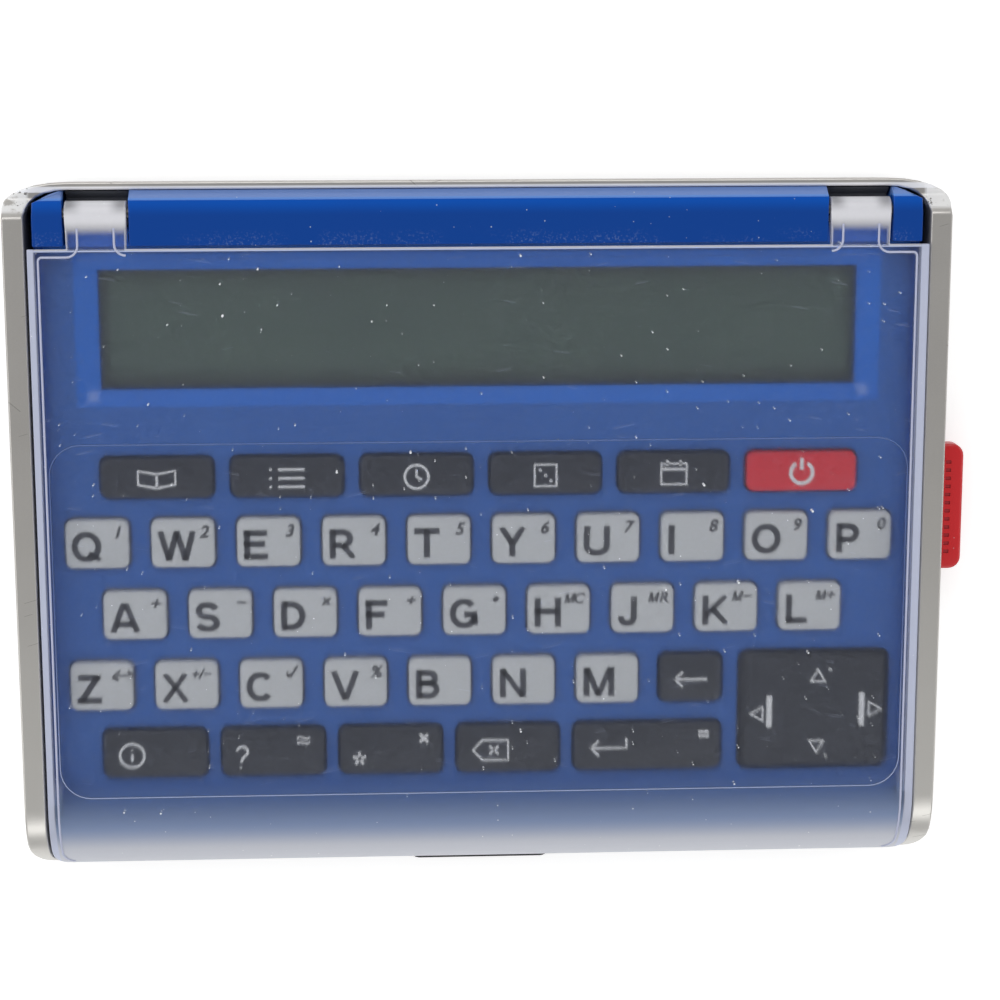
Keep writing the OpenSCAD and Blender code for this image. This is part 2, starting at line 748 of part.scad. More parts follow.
module front_housing() {
    color([0.1, 0.3, 0.66])
    difference() {
        union() {
            deck();
            housing_walls();
            housing_nose();
            fascia();
            for (p = SCREWS)
                translate([p[0], p[1], boss_h]) cylinder(r = boss_r, h = deck_low - boss_h + eps);
            for (s = [-1, 1])
                translate([pad_x, pad_y + s * (lug_in + ear_t / 2), (deck_low + tilt_h - ear_drop) / 2])
                    cube([ear_w, ear_t, deck_low - tilt_h + ear_drop + 2 * eps], center = true);
        }
        for (s = [-1, 1])
            translate([s * (notch_in + notch_w / 2) - notch_w / 2, fascia_y - eps, board_h])
                cube([notch_w, body_d, rail_h]);
        for (s = [-1, 1])
            translate([s * (notch_in + notch_w / 2), hinge_y, hinge_z]) rotate([0, 90, 0])
                cylinder(r = pin_r + hold_gap, h = notch_w + 2 * pin_hold, center = true);
        box([-hollow_w / 2, fascia_y + deck_t, deck_low - 1],
            [hollow_w / 2, shell_back - wall_t, rail_h - deck_t]);
        translate([pad_x, pad_y, tilt_h]) rotate([90, 0, 0])
            cylinder(r = rod_r + run_gap, h = 2 * (lug_in + ear_t + 1), center = true);
        for (p = SCREWS)
            translate([p[0], p[1], 0]) cylinder(r = screw_r + screw_gap, h = head_low + head_t + screw_l);
    }
}

// Side view of the lid's outside, and of the space under it
module lid_shape(r, low_front, low_back, y_end) {
    difference() {
        nose(r, nose_z);
        translate([front - 5, -5]) square([body_d, low_front + 5]);
    }
    translate([nose_y, low_back]) square([y_end - nose_y, nose_z + r - low_back]);
}

module lid_plan(inset) {
    plan(lid_half - inset, lid_front + inset, back, 1, 1, lid_corner - inset);
}

module lid_shell() {
    difference() {
        intersection() {
            across(lid_half) lid_shape(lid_r, lip_z, skirt_z, lid_back);
            linear_extrude(lid_top + 1) lid_plan(0);
        }
        intersection() {
            across(lid_half) lid_shape(lid_r - lid_t, 0, 0, lid_back - lid_wall);
            linear_extrude(lid_top + 1) lid_plan(lid_wall);
        }
    }
}

module lid() {
    color([0.8, 0.84, 0.93, 0.45])
    difference() {
        union() {
            lid_shell();
            translate([0, front + panel_front + panel_d / 2, lid_top - eps]) linear_extrude(panel_t + eps)
                rounded(2 * (lid_half - panel_side), panel_d, panel_r);
            for (s = [-1, 1])
                translate([s * (arm_in + arm_w / 2), 0, 0]) {
                    box([-arm_w / 2, lid_back - lid_wall, lid_top - arm_t], [arm_w / 2, hinge_y, lid_top]);
                    translate([0, hinge_y, hinge_z]) rotate([0, 90, 0])
                        cylinder(r = barrel_r, h = arm_w, center = true);
                }
        }
        translate([0, hinge_y, hinge_z]) rotate([0, 90, 0])
            cylinder(r = pin_r + run_gap, h = body_w, center = true);
    }
}

module hinge_pins() {
    color([0.25, 0.25, 0.27])
    for (s = [-1, 1])
        translate([s * (notch_in + notch_w / 2), hinge_y, hinge_z]) rotate([0, 90, 0])
            cylinder(r = pin_r, h = notch_w + 2 * (pin_hold - pin_end), center = true);
}

// A key cap with the flange that keeps it under the deck
module key_cap(k) {
    color(k[5]) translate([k[1], k[2], 0]) {
        translate([0, 0, stem_low]) linear_extrude(flange_t)
            square([k[3] + 2 * (key_gap + flange_out), k[4] + 2 * (key_gap + flange_out)], center = true);
        translate([0, 0, flange_top - eps]) linear_extrude(key_top - key_step - flange_top + eps)
            rounded(k[3], k[4], key_r);
        translate([0, 0, key_top - key_step - eps]) linear_extrude(key_step + eps)
            rounded(k[3] - 2 * key_step, k[4] - 2 * key_step, key_r);
    }
}

module dpad_gimbal() {
    color([0.3, 0.3, 0.32]) translate([pad_x, pad_y, tilt_h]) {
        cube([hub_w, hub_w, hub_t], center = true);
        rotate([90, 0, 0]) cylinder(r = rod_r, h = 2 * (lug_in + ear_t - pin_end), center = true);
        rotate([0, 90, 0]) cylinder(r = rod_r, h = 2 * (ear_in + ear_t + rod_out), center = true);
    }
}

module dpad_cap() {
    color([0.12, 0.13, 0.15])
    difference() {
        translate([pad_x, pad_y, 0]) {
            translate([0, 0, pad_low]) linear_extrude(pad_t - key_step + eps) rounded(pad_w, pad_d, key_r);
            translate([0, 0, key_top - key_step]) linear_extrude(key_step)
                rounded(pad_w - 2 * key_step, pad_d - 2 * key_step, key_r);
            for (s = [-1, 1])
                translate([s * (ear_in + ear_t / 2), 0, (pad_low + tilt_h - ear_drop) / 2 + eps])
                    cube([ear_t, ear_w, pad_low - tilt_h + ear_drop + 2 * eps], center = true);
        }
        translate([pad_x, pad_y, tilt_h]) rotate([0, 90, 0])
            cylinder(r = rod_r + run_gap, h = 2 * (ear_in + ear_t + 1), center = true);
    }
}

module display_lens() {
    color([0.75, 0.8, 0.82, 0.3])
    translate([-seat_w / 2, window_y - seat_d / 2, lens_low]) cube([seat_w, seat_d, lens_t]);
}

module display_gasket() {
    color([0.1, 0.1, 0.1])
    translate([0, window_y, gasket_low]) linear_extrude(gasket_t) difference() {
        square([seat_w, seat_d], center = true);
        square([window_w, window_d], center = true);
    }
}

module display_panel() {
    color([0.35, 0.39, 0.37])
    translate([-seat_w / 2, window_y - seat_d / 2, panel_low]) cube([seat_w, seat_d, panel_glass_t]);
}

module display_connector() {
    color([0.85, 0.45, 0.55])
    for (s = [-1, 1])
        translate([0, window_y + s * (seat_d - strip_w) / 2, (board_h + panel_low) / 2])
            cube([window_w - 3 * strip_w, strip_w, panel_low - board_h], center = true);
}

module circuit_board() {
    color([0.08, 0.35, 0.2])
    difference() {
        box([-board_half, board_front, board_low], [board_half, board_back, board_h]);
        for (p = SCREWS) translate([p[0], p[1], 0]) cylinder(r = boss_r + shell_gap, h = deck_h);
    }
}

module chip_cover() {
    color([0.05, 0.05, 0.06])
    translate([-chip_x, window_y, board_low - chip_t]) {
        translate([0, 0, chip_t / 2]) cylinder(r = chip_r, h = chip_t / 2);
        cylinder(r = chip_r - chip_t, h = chip_t / 2 + eps);
    }
}

module keypad_mat() {
    color([0.75, 0.75, 0.72]) {
        difference() {
            box([-mat_half, board_front + shell_gap, board_h], [mat_half, mat_back, mat_top]);
            for (p = SCREWS) translate([p[0], p[1], 0]) cylinder(r = boss_r + 2 * shell_gap, h = deck_h);
        }
        for (k = KEYS)
            translate([k[1], k[2], mat_top - eps]) cylinder(r = dome_r, h = dome_top - mat_top + eps);
        for (sx = [-1, 1])
            for (sy = [-1, 1])
                translate([
                    pad_x + sx * (pad_w / 2 - pad_dome_in),
                    pad_y + sy * (pad_d / 2 - pad_dome_in),
                    mat_top - eps
                ])
                    cylinder(r = pad_dome_r, h = pad_low - dome_gap - mat_top + eps);
    }
}

module battery() {
    color([0.8, 0.8, 0.78]) translate([cell_x, cell_y, cell_low]) {
        translate([0, 0, cell_step]) cylinder(r = cell_r, h = cell_t - cell_step, $fn = 72);
        cylinder(r = cell_r - 3 * cell_step, h = cell_step + eps, $fn = 72);
    }
}

module battery_contacts() {
    color([0.75, 0.72, 0.6]) {
        translate([cell_x, cell_y, cell_low + cell_t + contact_t / 2])
            cube([contact_l, contact_w, contact_t], center = true);
        for (s = [-1, 1])
            translate([cell_x + s * (contact_l - leg_w) / 2, cell_y, (cell_low + cell_t + board_low) / 2])
                cube([leg_w, contact_w, board_low - cell_low - cell_t], center = true);
        box([cell_x + pocket_r - contact_t, cell_y - contact_w, cell_low + leg_w],
            [cell_x + pocket_r, cell_y + contact_w, board_low]);
    }
}

module battery_door() {
    inner = pocket_r - door_gap;
    outer = door_half - door_gap;
    top = groove_top - door_gap / 2;
    end = door_in - door_gap;
    color([0.09, 0.09, 0.1])
    difference() {
        union() {
            box([door_out, cell_y - inner, door_gap / 2], [end - door_ledge, cell_y + inner, top]);
            box([door_out, cell_y - outer, groove_low + door_gap / 2], [end, cell_y + outer, top]);
        }
        for (i = [0:3])
            translate([door_out + 2 * grip_w * (i + 3), cell_y - grip_l / 2, -1])
                cube([grip_w, grip_l, 1 + door_gap]);
    }
}

module screws() {
    color([0.6, 0.6, 0.62])
    for (p = SCREWS) translate([p[0], p[1], head_low])
        difference() {
            union() {
                cylinder(r = head_r, h = head_t);
                cylinder(r = screw_r, h = head_t + screw_l);
            }
            cube([slot_l, slot_w, 2 * slot_depth], center = true);
            cube([slot_w, slot_l, 2 * slot_depth], center = true);
        }
}

module buzzer() {
    color([0.8, 0.68, 0.35]) translate([buzzer_x, window_y, floor_t]) {
        cylinder(r = buzzer_r, h = buzzer_t);
        cylinder(r = crystal_r, h = 2 * buzzer_t);
    }
}

module reset_button() {
    stem = board_low - floor_t - reset_travel - 2 * reset_gap;
    color([0.2, 0.2, 0.22]) translate([reset_x, reset_y, 0]) {
        translate([0, 0, reset_setback]) cylinder(r = hole_r - 2 * reset_gap, h = floor_t);
        translate([0, 0, floor_t]) cylinder(r = reset_r, h = reset_flange);
        translate([0, 0, floor_t]) cylinder(r = stem_r, h = stem);
    }
}

module reference_slip() {
    color([0.93, 0.92, 0.86])
    box([slip_end - slip_l, slip_y - slip_d / 2, slip_low], [slip_end, slip_y + slip_d / 2, slip_top]);
}

module pull_tab() {
    color([0.82, 0.12, 0.14])
    difference() {
        translate([tab_x, slip_y, slip_h - tab_t / 2]) linear_extrude(tab_t) union() {
            translate([0, -tab_d / 2]) square([tab_out - tab_r, tab_d]);
            translate([0, -tab_d / 2 + tab_r]) square([tab_out, tab_d - 2 * tab_r]);
            for (s = [-1, 1]) translate([tab_out - tab_r, s * (tab_d / 2 - tab_r)]) circle(tab_r);
        }
        box([0, slip_y - slip_d / 2 - hold_gap, slip_low - hold_gap],
            [slip_end + hold_gap, slip_y + slip_d / 2 + hold_gap, slip_top + hold_gap]);
        for (i = [0:dots - 1])
            translate([slip_end, slip_y + (i - (dots - 1) / 2) * dot_pitch, slip_h + tab_t / 2 - dot_depth])
                cylinder(r = dot_r, h = 1, $fn = 16);
    }
}

rear_cover();
front_housing();
side_frame();
lid();
hinge_pins();
display_lens();
display_gasket();
display_panel();
display_connector();
circuit_board();
chip_cover();
keypad_mat();
dpad_gimbal();
dpad_cap();
battery();
battery_contacts();
battery_door();
screws();
buzzer();
reset_button();
reference_slip();
pull_tab();
for (k = KEYS)
    key_cap(k);
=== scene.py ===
# %% [markdown]
# # A pocket electronic dictionary
#
# The object is a slim blue keypad computer between two silver rails. A frosted
# lid is hinged at the back, and a red tab at the right pulls out a reference
# slip. The frame that is loaded first holds every solid of the construction in
# its real place, in metres, and everything made here is fitted onto it.

import math

import bmesh
import bpy
from mathutils import Matrix, Vector


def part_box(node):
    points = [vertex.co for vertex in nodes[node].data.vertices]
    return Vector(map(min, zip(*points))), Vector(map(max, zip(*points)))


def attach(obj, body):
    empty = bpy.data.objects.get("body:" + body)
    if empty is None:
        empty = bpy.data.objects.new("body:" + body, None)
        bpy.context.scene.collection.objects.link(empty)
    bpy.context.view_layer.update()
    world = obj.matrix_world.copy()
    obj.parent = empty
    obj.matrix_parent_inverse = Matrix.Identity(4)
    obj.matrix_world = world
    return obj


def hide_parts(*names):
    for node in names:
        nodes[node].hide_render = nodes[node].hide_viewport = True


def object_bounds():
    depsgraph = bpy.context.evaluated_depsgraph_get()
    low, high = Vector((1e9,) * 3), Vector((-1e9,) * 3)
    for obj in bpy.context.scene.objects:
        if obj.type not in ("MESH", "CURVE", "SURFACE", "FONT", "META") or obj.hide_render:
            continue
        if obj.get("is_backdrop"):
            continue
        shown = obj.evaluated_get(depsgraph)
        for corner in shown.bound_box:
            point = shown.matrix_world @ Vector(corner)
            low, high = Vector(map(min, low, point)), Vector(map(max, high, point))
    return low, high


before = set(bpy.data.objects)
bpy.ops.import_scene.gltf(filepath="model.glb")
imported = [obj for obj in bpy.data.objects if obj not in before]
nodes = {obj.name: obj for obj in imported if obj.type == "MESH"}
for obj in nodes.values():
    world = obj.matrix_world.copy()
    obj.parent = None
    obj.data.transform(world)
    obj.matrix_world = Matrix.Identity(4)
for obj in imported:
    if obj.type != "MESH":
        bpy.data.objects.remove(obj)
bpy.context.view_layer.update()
mm = 0.001

# %% [markdown]
# ## Camera, light and floor
#
# The photograph looks almost straight down from a third of a metre, a little
# from behind the hinge. A camera is easiest to give by where it stands, what it
# looks at and which way is up in its picture, and a matrix with those three
# directions as columns holds exactly that.

# %% The camera
def placed(name, data):
    """A new object of the scene that holds the data."""
    made = bpy.data.objects.new(name, data)
    bpy.context.scene.collection.objects.link(made)
    return made


camera_data = bpy.data.cameras.new("table_camera")
camera_data.lens = 90
camera_data.sensor_width = 36
camera = placed("table_camera", camera_data)
stand = Vector((-14.02, 71.35, 348.26)) * mm
back = Vector((-0.048407, 0.195129, 0.979582))
up = Vector((0.011519, 0.980776, -0.194797))
right = up.cross(back)
camera.matrix_world = Matrix.Translation(stand) @ Matrix((right, up, back)).transposed().to_4x4()
bpy.context.scene.camera = camera
print("camera height in mm:", round(stand.z / mm))

# %% [markdown]
# Shader maths reads best as ordinary expressions. The class below wraps a
# socket of a node tree: adding, subtracting, multiplying, dividing or comparing
# wraps adds the Math nodes for it, and any other node comes from `node`, which
# takes the kind of node, what goes into its sockets and its settings. The same
# class serves geometry trees.

# %% A socket that can be calculated with
def operator(kind, reflected=False):
    """A method that adds a Math node. Reflected, the wire is the second of its two values."""
    return lambda self, other: self.math(kind, other, self) if reflected else self.math(kind, self, other)


class Wire:
    """A socket in a node tree. Operators add Math nodes."""

    def __init__(self, tree, socket=None):
        self.tree = tree
        self.socket = socket

    def node(self, kind, inputs=None, out=0, **settings):
        """Any node: its kind, what goes into its sockets, which output counts, and its settings."""
        made = self.tree.nodes.new(kind)
        for name, value in settings.items():
            setattr(made, name, value)
        for name, value in (inputs or {}).items():
            self.feed(made.inputs[name], value)
        return Wire(self.tree, made.outputs[out] if made.outputs else None)

    def other(self, out):
        """Another output of the same node."""
        return Wire(self.tree, self.socket.node.outputs[out])

    def feed(self, socket, value):
        if isinstance(value, Wire):
            self.tree.links.new(value.socket, socket)
        elif isinstance(value, tuple) and len(value) == 3 and socket.type == "RGBA":
            socket.default_value = (*value, 1)
        else:
            socket.default_value = value

    def math(self, operation, a, b=0.0):
        return self.node("ShaderNodeMath", {0: a, 1: b}, operation=operation)

    __add__, __radd__ = operator("ADD"), operator("ADD", True)
    __sub__, __rsub__ = operator("SUBTRACT"), operator("SUBTRACT", True)
    __mul__, __rmul__ = operator("MULTIPLY"), operator("MULTIPLY", True)
    __truediv__ = operator("DIVIDE")
    __gt__, __lt__ = operator("GREATER_THAN"), operator("LESS_THAN")

    def between(self, low, high):
        """0 below low, 1 above high, and a soft step between them."""
        return self.node("ShaderNodeMapRange", {0: self, 1: low, 2: high}, interpolation_type="SMOOTHSTEP")

    def blend(self, first, second):
        """First colour where this mask is 0, second where it is 1."""
        return self.node("ShaderNodeMix", {0: self, 6: first, 7: second}, 2, data_type="RGBA")


# %% [markdown]
# The room is a photographer's table: four broad lamps stand round it, and the
# ceiling is dim. The flat faces therefore mirror little and keep their colours,
# while every rounded edge finds a lamp to shine with. Only to the camera itself
# is the room white.

# %% Studio light
def colour(red, green, blue):
    """A colour read off a screen, 0 to 255, as the linear light that shaders use."""
    return tuple(((c / 255 + 0.055) / 1.055) ** 2.4 if c > 10 else c / 3294.6 for c in (red, green, blue))


white, black = (1.0, 1.0, 1.0), (0.0, 0.0, 0.0)
world = bpy.data.worlds.new("dim_room")
bpy.context.scene.world = world
world.use_nodes = True
world.node_tree.nodes.clear()
room = Wire(world.node_tree)
ceiling = room.node("ShaderNodeBackground", {"Color": white, "Strength": 0.3})
backdrop = room.node("ShaderNodeBackground", {"Color": white, "Strength": 1.0})
to_camera = room.node("ShaderNodeLightPath", out="Is Camera Ray")
room_look = room.node("ShaderNodeMixShader", {0: to_camera, 1: ceiling, 2: backdrop})
room.node("ShaderNodeOutputWorld", {"Surface": room_look})


def lamp(name, place, width, depth, watts):
    """A soft box that faces the middle of the table."""
    light = bpy.data.lights.new(name, "AREA")
    light.shape = "RECTANGLE"
    light.size = width
    light.size_y = depth
    light.energy = watts
    holder = placed(name, light)
    holder.location = place
    holder.rotation_euler = (-Vector(place)).to_track_quat("-Z", "Y").to_euler()


lamp("back_light", (-0.1, 0.62, 0.55), 1.0, 0.35, 2.9)
lamp("front_light", (0.1, -0.6, 0.5), 0.9, 0.3, 1.9)
lamp("left_light", (-0.7, 0.05, 0.5), 0.8, 0.35, 2.2)
lamp("right_light", (0.7, 0.0, 0.45), 0.8, 0.3, 1.1)

# %% [markdown]
# The floor is a plain sheet. To the camera, in gloss and through clear plastic
# it also glows a little, which keeps it white all round, while the shadow under
# the object still darkens it.

# %% The floor
floor_mesh = bpy.data.meshes.new("floor")
reach = 3.0
floor_mesh.from_pydata(
    [(-reach, -reach, 0), (reach, -reach, 0), (reach, reach, 0), (-reach, reach, 0)], [], [(0, 1, 2, 3)]
)
floor = placed("floor", floor_mesh)
floor.location.z = -0.2 * mm
floor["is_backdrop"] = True


def dress(paint, **values):
    """Feeds the inputs of a material's shader with constants or wires."""
    for label, value in values.items():
        paint.feed(paint.socket.node.inputs[label.replace("_", " ").title().replace("Ior", "IOR")], value)


def surface(name, tint, rough, **constants):
    """A new material, and the wire that leaves its one Principled BSDF."""
    material = bpy.data.materials.new(name)
    material.use_nodes = True
    material.node_tree.nodes.clear()
    paint = Wire(material.node_tree).node("ShaderNodeBsdfPrincipled")
    paint.node("ShaderNodeOutputMaterial", {"Surface": paint})
    dress(paint, base_color=tint, roughness=rough, **constants)
    return material, paint


floor_glow = (0.5, 0.5, 0.5)
white_floor, paint = surface("white_floor", (0.8, 0.8, 0.8), 0.9, emission_strength=1.0)
path = paint.node("ShaderNodeLightPath", out="Is Camera Ray")
seen = path + path.other("Is Glossy Ray") + path.other("Is Transmission Ray")
dress(paint, emission_color=seen.math("MINIMUM", seen, 1.0).blend(black, floor_glow))
floor_mesh.materials.append(white_floor)
print("floor across in m:", 2 * reach)

# %% [markdown]
# ## Finishes
#
# Plastic that has been used is never one flat colour. Every finish starts from
# the piece's own coordinates, so the grain stays with the piece when it moves,
# and lays three things over its colour: a slow cloudiness, fine specks of dust,
# and hairline scratches.

# %% Helpers for grain, dust and scratches
def coordinates(paint, seed=0.0, scale=(1.0, 1.0, 1.0), turn=0.0):
    """Object coordinates in millimetres, stretched, turned about Z and moved by a seed."""
    return paint.node("ShaderNodeMapping", {
        "Vector": paint.node("ShaderNodeTexCoord", out="Object"),
        "Scale": tuple(s / mm for s in scale),
        "Rotation": (0, 0, turn),
        "Location": (31.7 * seed, 17.3 * seed, 5.9 * seed),
    })


def clouds(paint, size, detail=2.0, seed=0.0):
    """Noise from 0 to 1 whose blotches are about `size` millimetres."""
    spot = coordinates(paint, seed)
    return paint.node("ShaderNodeTexNoise", {"Vector": spot, "Scale": 1 / size, "Detail": detail})


def scattered(spot, scale, out=0):
    """The nearest of points strewn over a plane: how far it is or, as another output, where it is."""
    return spot.node("ShaderNodeTexVoronoi", {"Vector": spot, "Scale": scale}, out, voronoi_dimensions="2D")


def chance_of(found):
    """A Voronoi cell's own random number."""
    return found.node("ShaderNodeSeparateColor", {0: found.other("Color")})


def dust(paint, spacing, radius, amount, seed=0.0):
    """Small specks on level faces, one in a share of the cells of a grid, sizes in millimetres."""
    found = scattered(coordinates(paint, seed), 1 / spacing)
    chance = chance_of(found)
    return (found < chance * (radius / spacing / amount)) * (chance < amount)


def hairlines(paint, length, width, turn, amount, seed=0.0):
    """Single fine scratches, at most one in each cell of a long, narrow grid."""
    spot = coordinates(paint, seed, (1 / length, 3 / length, 3 / length), turn)
    found = scattered(spot, 1.0, "Position")
    away = paint.node("ShaderNodeVectorMath", {0: spot, 1: found}, operation="SUBTRACT")
    along = paint.node("ShaderNodeSeparateXYZ", {0: away})
    aside = along.other(1)
    chance = chance_of(found)
    near = aside.math("ABSOLUTE", aside) < width * 1.5 / length
    return near * (along.math("ABSOLUTE", along) < chance * (0.4 / amount)) * (chance < amount)


def bump(paint, height, depth):
    """Presses a height pattern into the surface, depth in millimetres."""
    pressed = paint.node("ShaderNodeBump", {"Height": height, "Distance": depth * mm, "Strength": 1.0})
    dress(paint, normal=pressed)


def layered(tone, *layers):
    """Lays colours over a colour. A layer is a mask with its red, green and blue, 0 to 255."""
    for mask, *rgb in layers:
        tone = mask.blend(tone, colour(*rgb))
    return tone


def position(paint):
    """The piece's own X, Y and Z in millimetres."""
    split = paint.node("ShaderNodeSeparateXYZ", {0: coordinates(paint)})
    return [split.other(axis) for axis in range(3)]


def largest(first, *others):
    """The greatest of several masks."""
    for other in others:
        first = first.math("MAXIMUM", first, other)
    return first


def distance(wire, middle=0.0):
    """How far a coordinate is from a middle, either way."""
    away = wire - middle
    return away.math("ABSOLUTE", away)


# %% [markdown]
# The rails are moulded plastic under silver paint: metal flakes make it shine
# like soft metal, it is scratched along its length and it has white patches at
# its back corners. Painted light makes the rails lighter towards the front and
# lays a bright line along the back band. The housing is one blue moulding,
# polished on the fascia and finely grained on the deck, where fingers rub. Its
# colour carries painted light too: the deck is lighter than the fascia, making
# up for the light that the lid holds back, the window's slopes, a band of the
# fascia and its back slope are a brighter blue, and painted glints sit at the
# window's lower corners.

# %% Silver paint
silver, paint = surface("silver_paint", (0.5, 0.5, 0.5), 0.34, metallic=0.6)
x, y, z = position(paint)
flakes = clouds(paint, 0.12)
cloudy = clouds(paint, 9.0, 3.0, 2.0)
scratched = hairlines(paint, 7.0, 0.06, 1.2, 0.12, 1.0) + hairlines(paint, 4.0, 0.05, -0.7, 0.12, 7.0)
corner_x, corner_y, fade = 59.8, 43.9, 0.6
patch = distance(x).between(corner_x, corner_x + fade) * y.between(corner_y, corner_y + fade)
# White patches at the back corners, laid through a cloudy mask, where the paint is not metallic.
corner_white_patches = patch * clouds(paint, 1.4, 4.0, 5.0).between(0.3, 0.42)
chipped = patch * (clouds(paint, 0.9, 3.0, 12.0) > 0.66)
band_low, band_top, band_y, shine_end = 11.6, 12.9, 46.7, 47.65
band = z.between(band_low, band_low + 0.4) * (band_top - z).between(0.0, 0.1)
# Painted highlight: a bright line along the inner edge of the back band.
band_painted_highlight = band * y.between(band_y, band_y + 0.1) * (shine_end - y).between(0.0, 0.25)
# Painted light: the silver is lighter towards the front of the rails.
tone = layered(
    colour(178, 175, 171), ((0 - y).between(-20.0, 40.0), 206, 204, 199), (cloudy * 0.25, 196, 193, 188),
    (flakes * 0.3, 216, 214, 210), (scratched * 0.5, 112, 108, 104), (corner_white_patches * 0.85, 244, 244, 244),
    (band_painted_highlight * 0.8, 250, 251, 255), (chipped * 0.8, 70, 66, 62),
)
worn = 0.3 + cloudy * 0.1 + scratched * 0.15 - corner_white_patches * 0.1
dress(paint, base_color=tone, roughness=worn, metallic=0.6 - largest(corner_white_patches, band_painted_highlight) * 0.6)
bump(paint, flakes, 0.003)

# %% Blue plastic
blue, paint = surface("blue_plastic", colour(12, 66, 152), 0.3, specular_ior_level=0.25)
x, y, z = position(paint)
deck, shoulder = 11.6, 12.6
high = z.between(deck, shoulder)
grain = clouds(paint, 0.16)
cloudy = clouds(paint, 12.0, 2.0, 4.0)
specks = dust(paint, 2.4, 0.1, 0.2, 3.0)
frame_x, frame_y, frame_middle = 54.6, 10.35, 28.05
from_window = largest(distance(x) - frame_x, distance(y, frame_middle) - frame_y)
# Painted highlight: the slopes round the window are a brighter blue.
window_slope_highlight = (1 - from_window.between(-0.2, 0.2)) * (1 - high)
slope_y, slope_soft, sheen_y, scuff_y = 45.75, 0.2, 43.6, 42.2
# Painted reflection: the fascia's back slope is a pale blue, with a painted highlight line along its front
# edge.
rear_slope_sheen = y.between(slope_y, slope_y + slope_soft) * high
rear_slope_highlight = rear_slope_sheen * (slope_y + 2 * slope_soft - y).between(0.0, slope_soft / 2)
# Painted sheen: the fascia is a brighter blue just in front of its back slope.
fascia_sheen = y.between(sheen_y, slope_y - 0.05) * high
scuffed = (scuff_y - y).between(0.0, 2.4) * high * clouds(paint, 0.3, 5.0, 9.0).between(0.5, 0.8)
scuffed = scuffed * clouds(paint, 7.0, 2.0, 15.0).between(0.42, 0.6)
corner_x, corner_y, glint_reach = 52.5, 19.1, 1.1
off_corner = largest(distance(distance(x), corner_x), distance(y, corner_y))
glint = (1 - off_corner.between(0.2, glint_reach)) * (1 - high) * 0.6
# Painted light: the deck is lighter than the fascia, making up for the light that the lid above it holds
# back.
lightened_deck_tone = layered(colour(48, 96, 170), (window_slope_highlight, 26, 106, 204), (glint, 150, 172, 225))
fascia_tone = layered(colour(5, 64, 146), (fascia_sheen, 0, 82, 182))
tone = layered(
    high.blend(lightened_deck_tone, fascia_tone), (cloudy * 0.3, 10, 60, 146), (rear_slope_sheen, 104, 136, 200),
    (rear_slope_highlight * 0.7, 84, 140, 220), (scuffed * 0.4, 150, 170, 205), (specks * 0.6, 196, 204, 214),
)
dress(paint, base_color=tone, roughness=0.42 - high * 0.16 + cloudy * 0.06 + specks * 0.3 + scuffed * 0.2)
bump(paint, grain * (1 - high * 0.8), 0.012)
print("finishes so far:", len(bpy.data.materials))

# %% [markdown]
# The lid is clear plastic with a satin surface, which scatters what lies under
# it, so keys look soft through it. Light that runs along inside the plate comes
# out where the plate ends or bends: the rims, the barrels of the hinge and the
# round nose look milky. Two shaders stand for that, a rough clear one and a
# milky one, and masks made from the lid's own coordinates say where the second
# shows. A faint frost, dust and fine scratches are milky too.

# %% Frosted plastic
lid_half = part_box("lid")[1].x / mm
lid_back, nose_start, nose_end = 39.2, 34.4, 46.0
arm_middle, arm_half = 51.075, 3.925
rim, rim_soft = 0.85, 0.1

frosted, clear = surface(
    "frosted_plastic", (0.97, 0.98, 1.0), 0.4,
    transmission_weight=1.0, ior=1.45, specular_ior_level=0.35, alpha=0.4,
)
x, y, z = position(clear)
forward = 0 - y
aside = distance(x)
off_arm = distance(aside, arm_middle)
on_arm = y > lid_back
haze = clouds(clear, 16.0, 3.0, 6.0)
lip = forward.between(nose_start, nose_end) * 0.96
front_edge = aside.between(57.7, 58.6) * forward.between(33.0, 38.0) * 0.35
smudge = y.between(43.6, 45.0) * off_arm.between(1.4, 3.4)
barrel = y.between(41.0, 43.2) * (1 - smudge * 0.6) * 0.85
side_band = aside.between(lid_half - rim, lid_half - rim + rim_soft) * 0.7
back_band = y.between(lid_back - 2 * rim_soft, lid_back - rim_soft) * (1 - on_arm) * 0.75
arm_edge = off_arm.between(arm_half - 2 * rim_soft, arm_half - rim_soft) * on_arm * 0.45
specks = dust(clear, 2.1, 0.1, 0.2, 2.0) * 0.8 + dust(clear, 5.0, 0.16, 0.14, 9.0) * 0.9
marks = hairlines(clear, 4.0, 0.03, 0.5, 0.05, 11.0) + hairlines(clear, 5.0, 0.03, -0.6, 0.04, 14.0)
frost = 0.014 + clouds(clear, 0.5, 3.0, 21.0).between(0.4, 0.7) * 0.022
plate_milk, arm_milk = (0.62, 0.68, 0.88), (0.8, 0.8, 0.84)
rim_milk, speck_milk = (0.62, 0.66, 0.82), (0.85, 0.87, 0.9)
# Painted light: on the nose the milk starts bluish, lighter than the shaded housing below, and turns pale
# grey to the front.
front_milk = forward.between(40.5, 45.0).blend((0.25, 0.34, 0.56), (0.62, 0.64, 0.71))
milk = forward.between(34.0, 37.0).blend(on_arm.blend(plate_milk, arm_milk), front_milk)
milk = (aside > lid_half - rim - 0.05).blend(milk, rim_milk)
milky = clear.node("ShaderNodeBsdfPrincipled", {
    "Base Color": (specks > 0.1).blend(milk, speck_milk), "Roughness": 0.4, "Specular IOR Level": 0.3})
shown = largest(lip, front_edge, barrel, side_band, back_band, arm_edge, specks, marks * 0.3) + frost
both = clear.node("ShaderNodeMixShader", {0: shown, 1: clear, 2: milky})
output = next(n for n in clear.tree.nodes if n.type == "OUTPUT_MATERIAL")
clear.feed(output.inputs["Surface"], both)
dress(clear, roughness=0.3 + haze * 0.08)
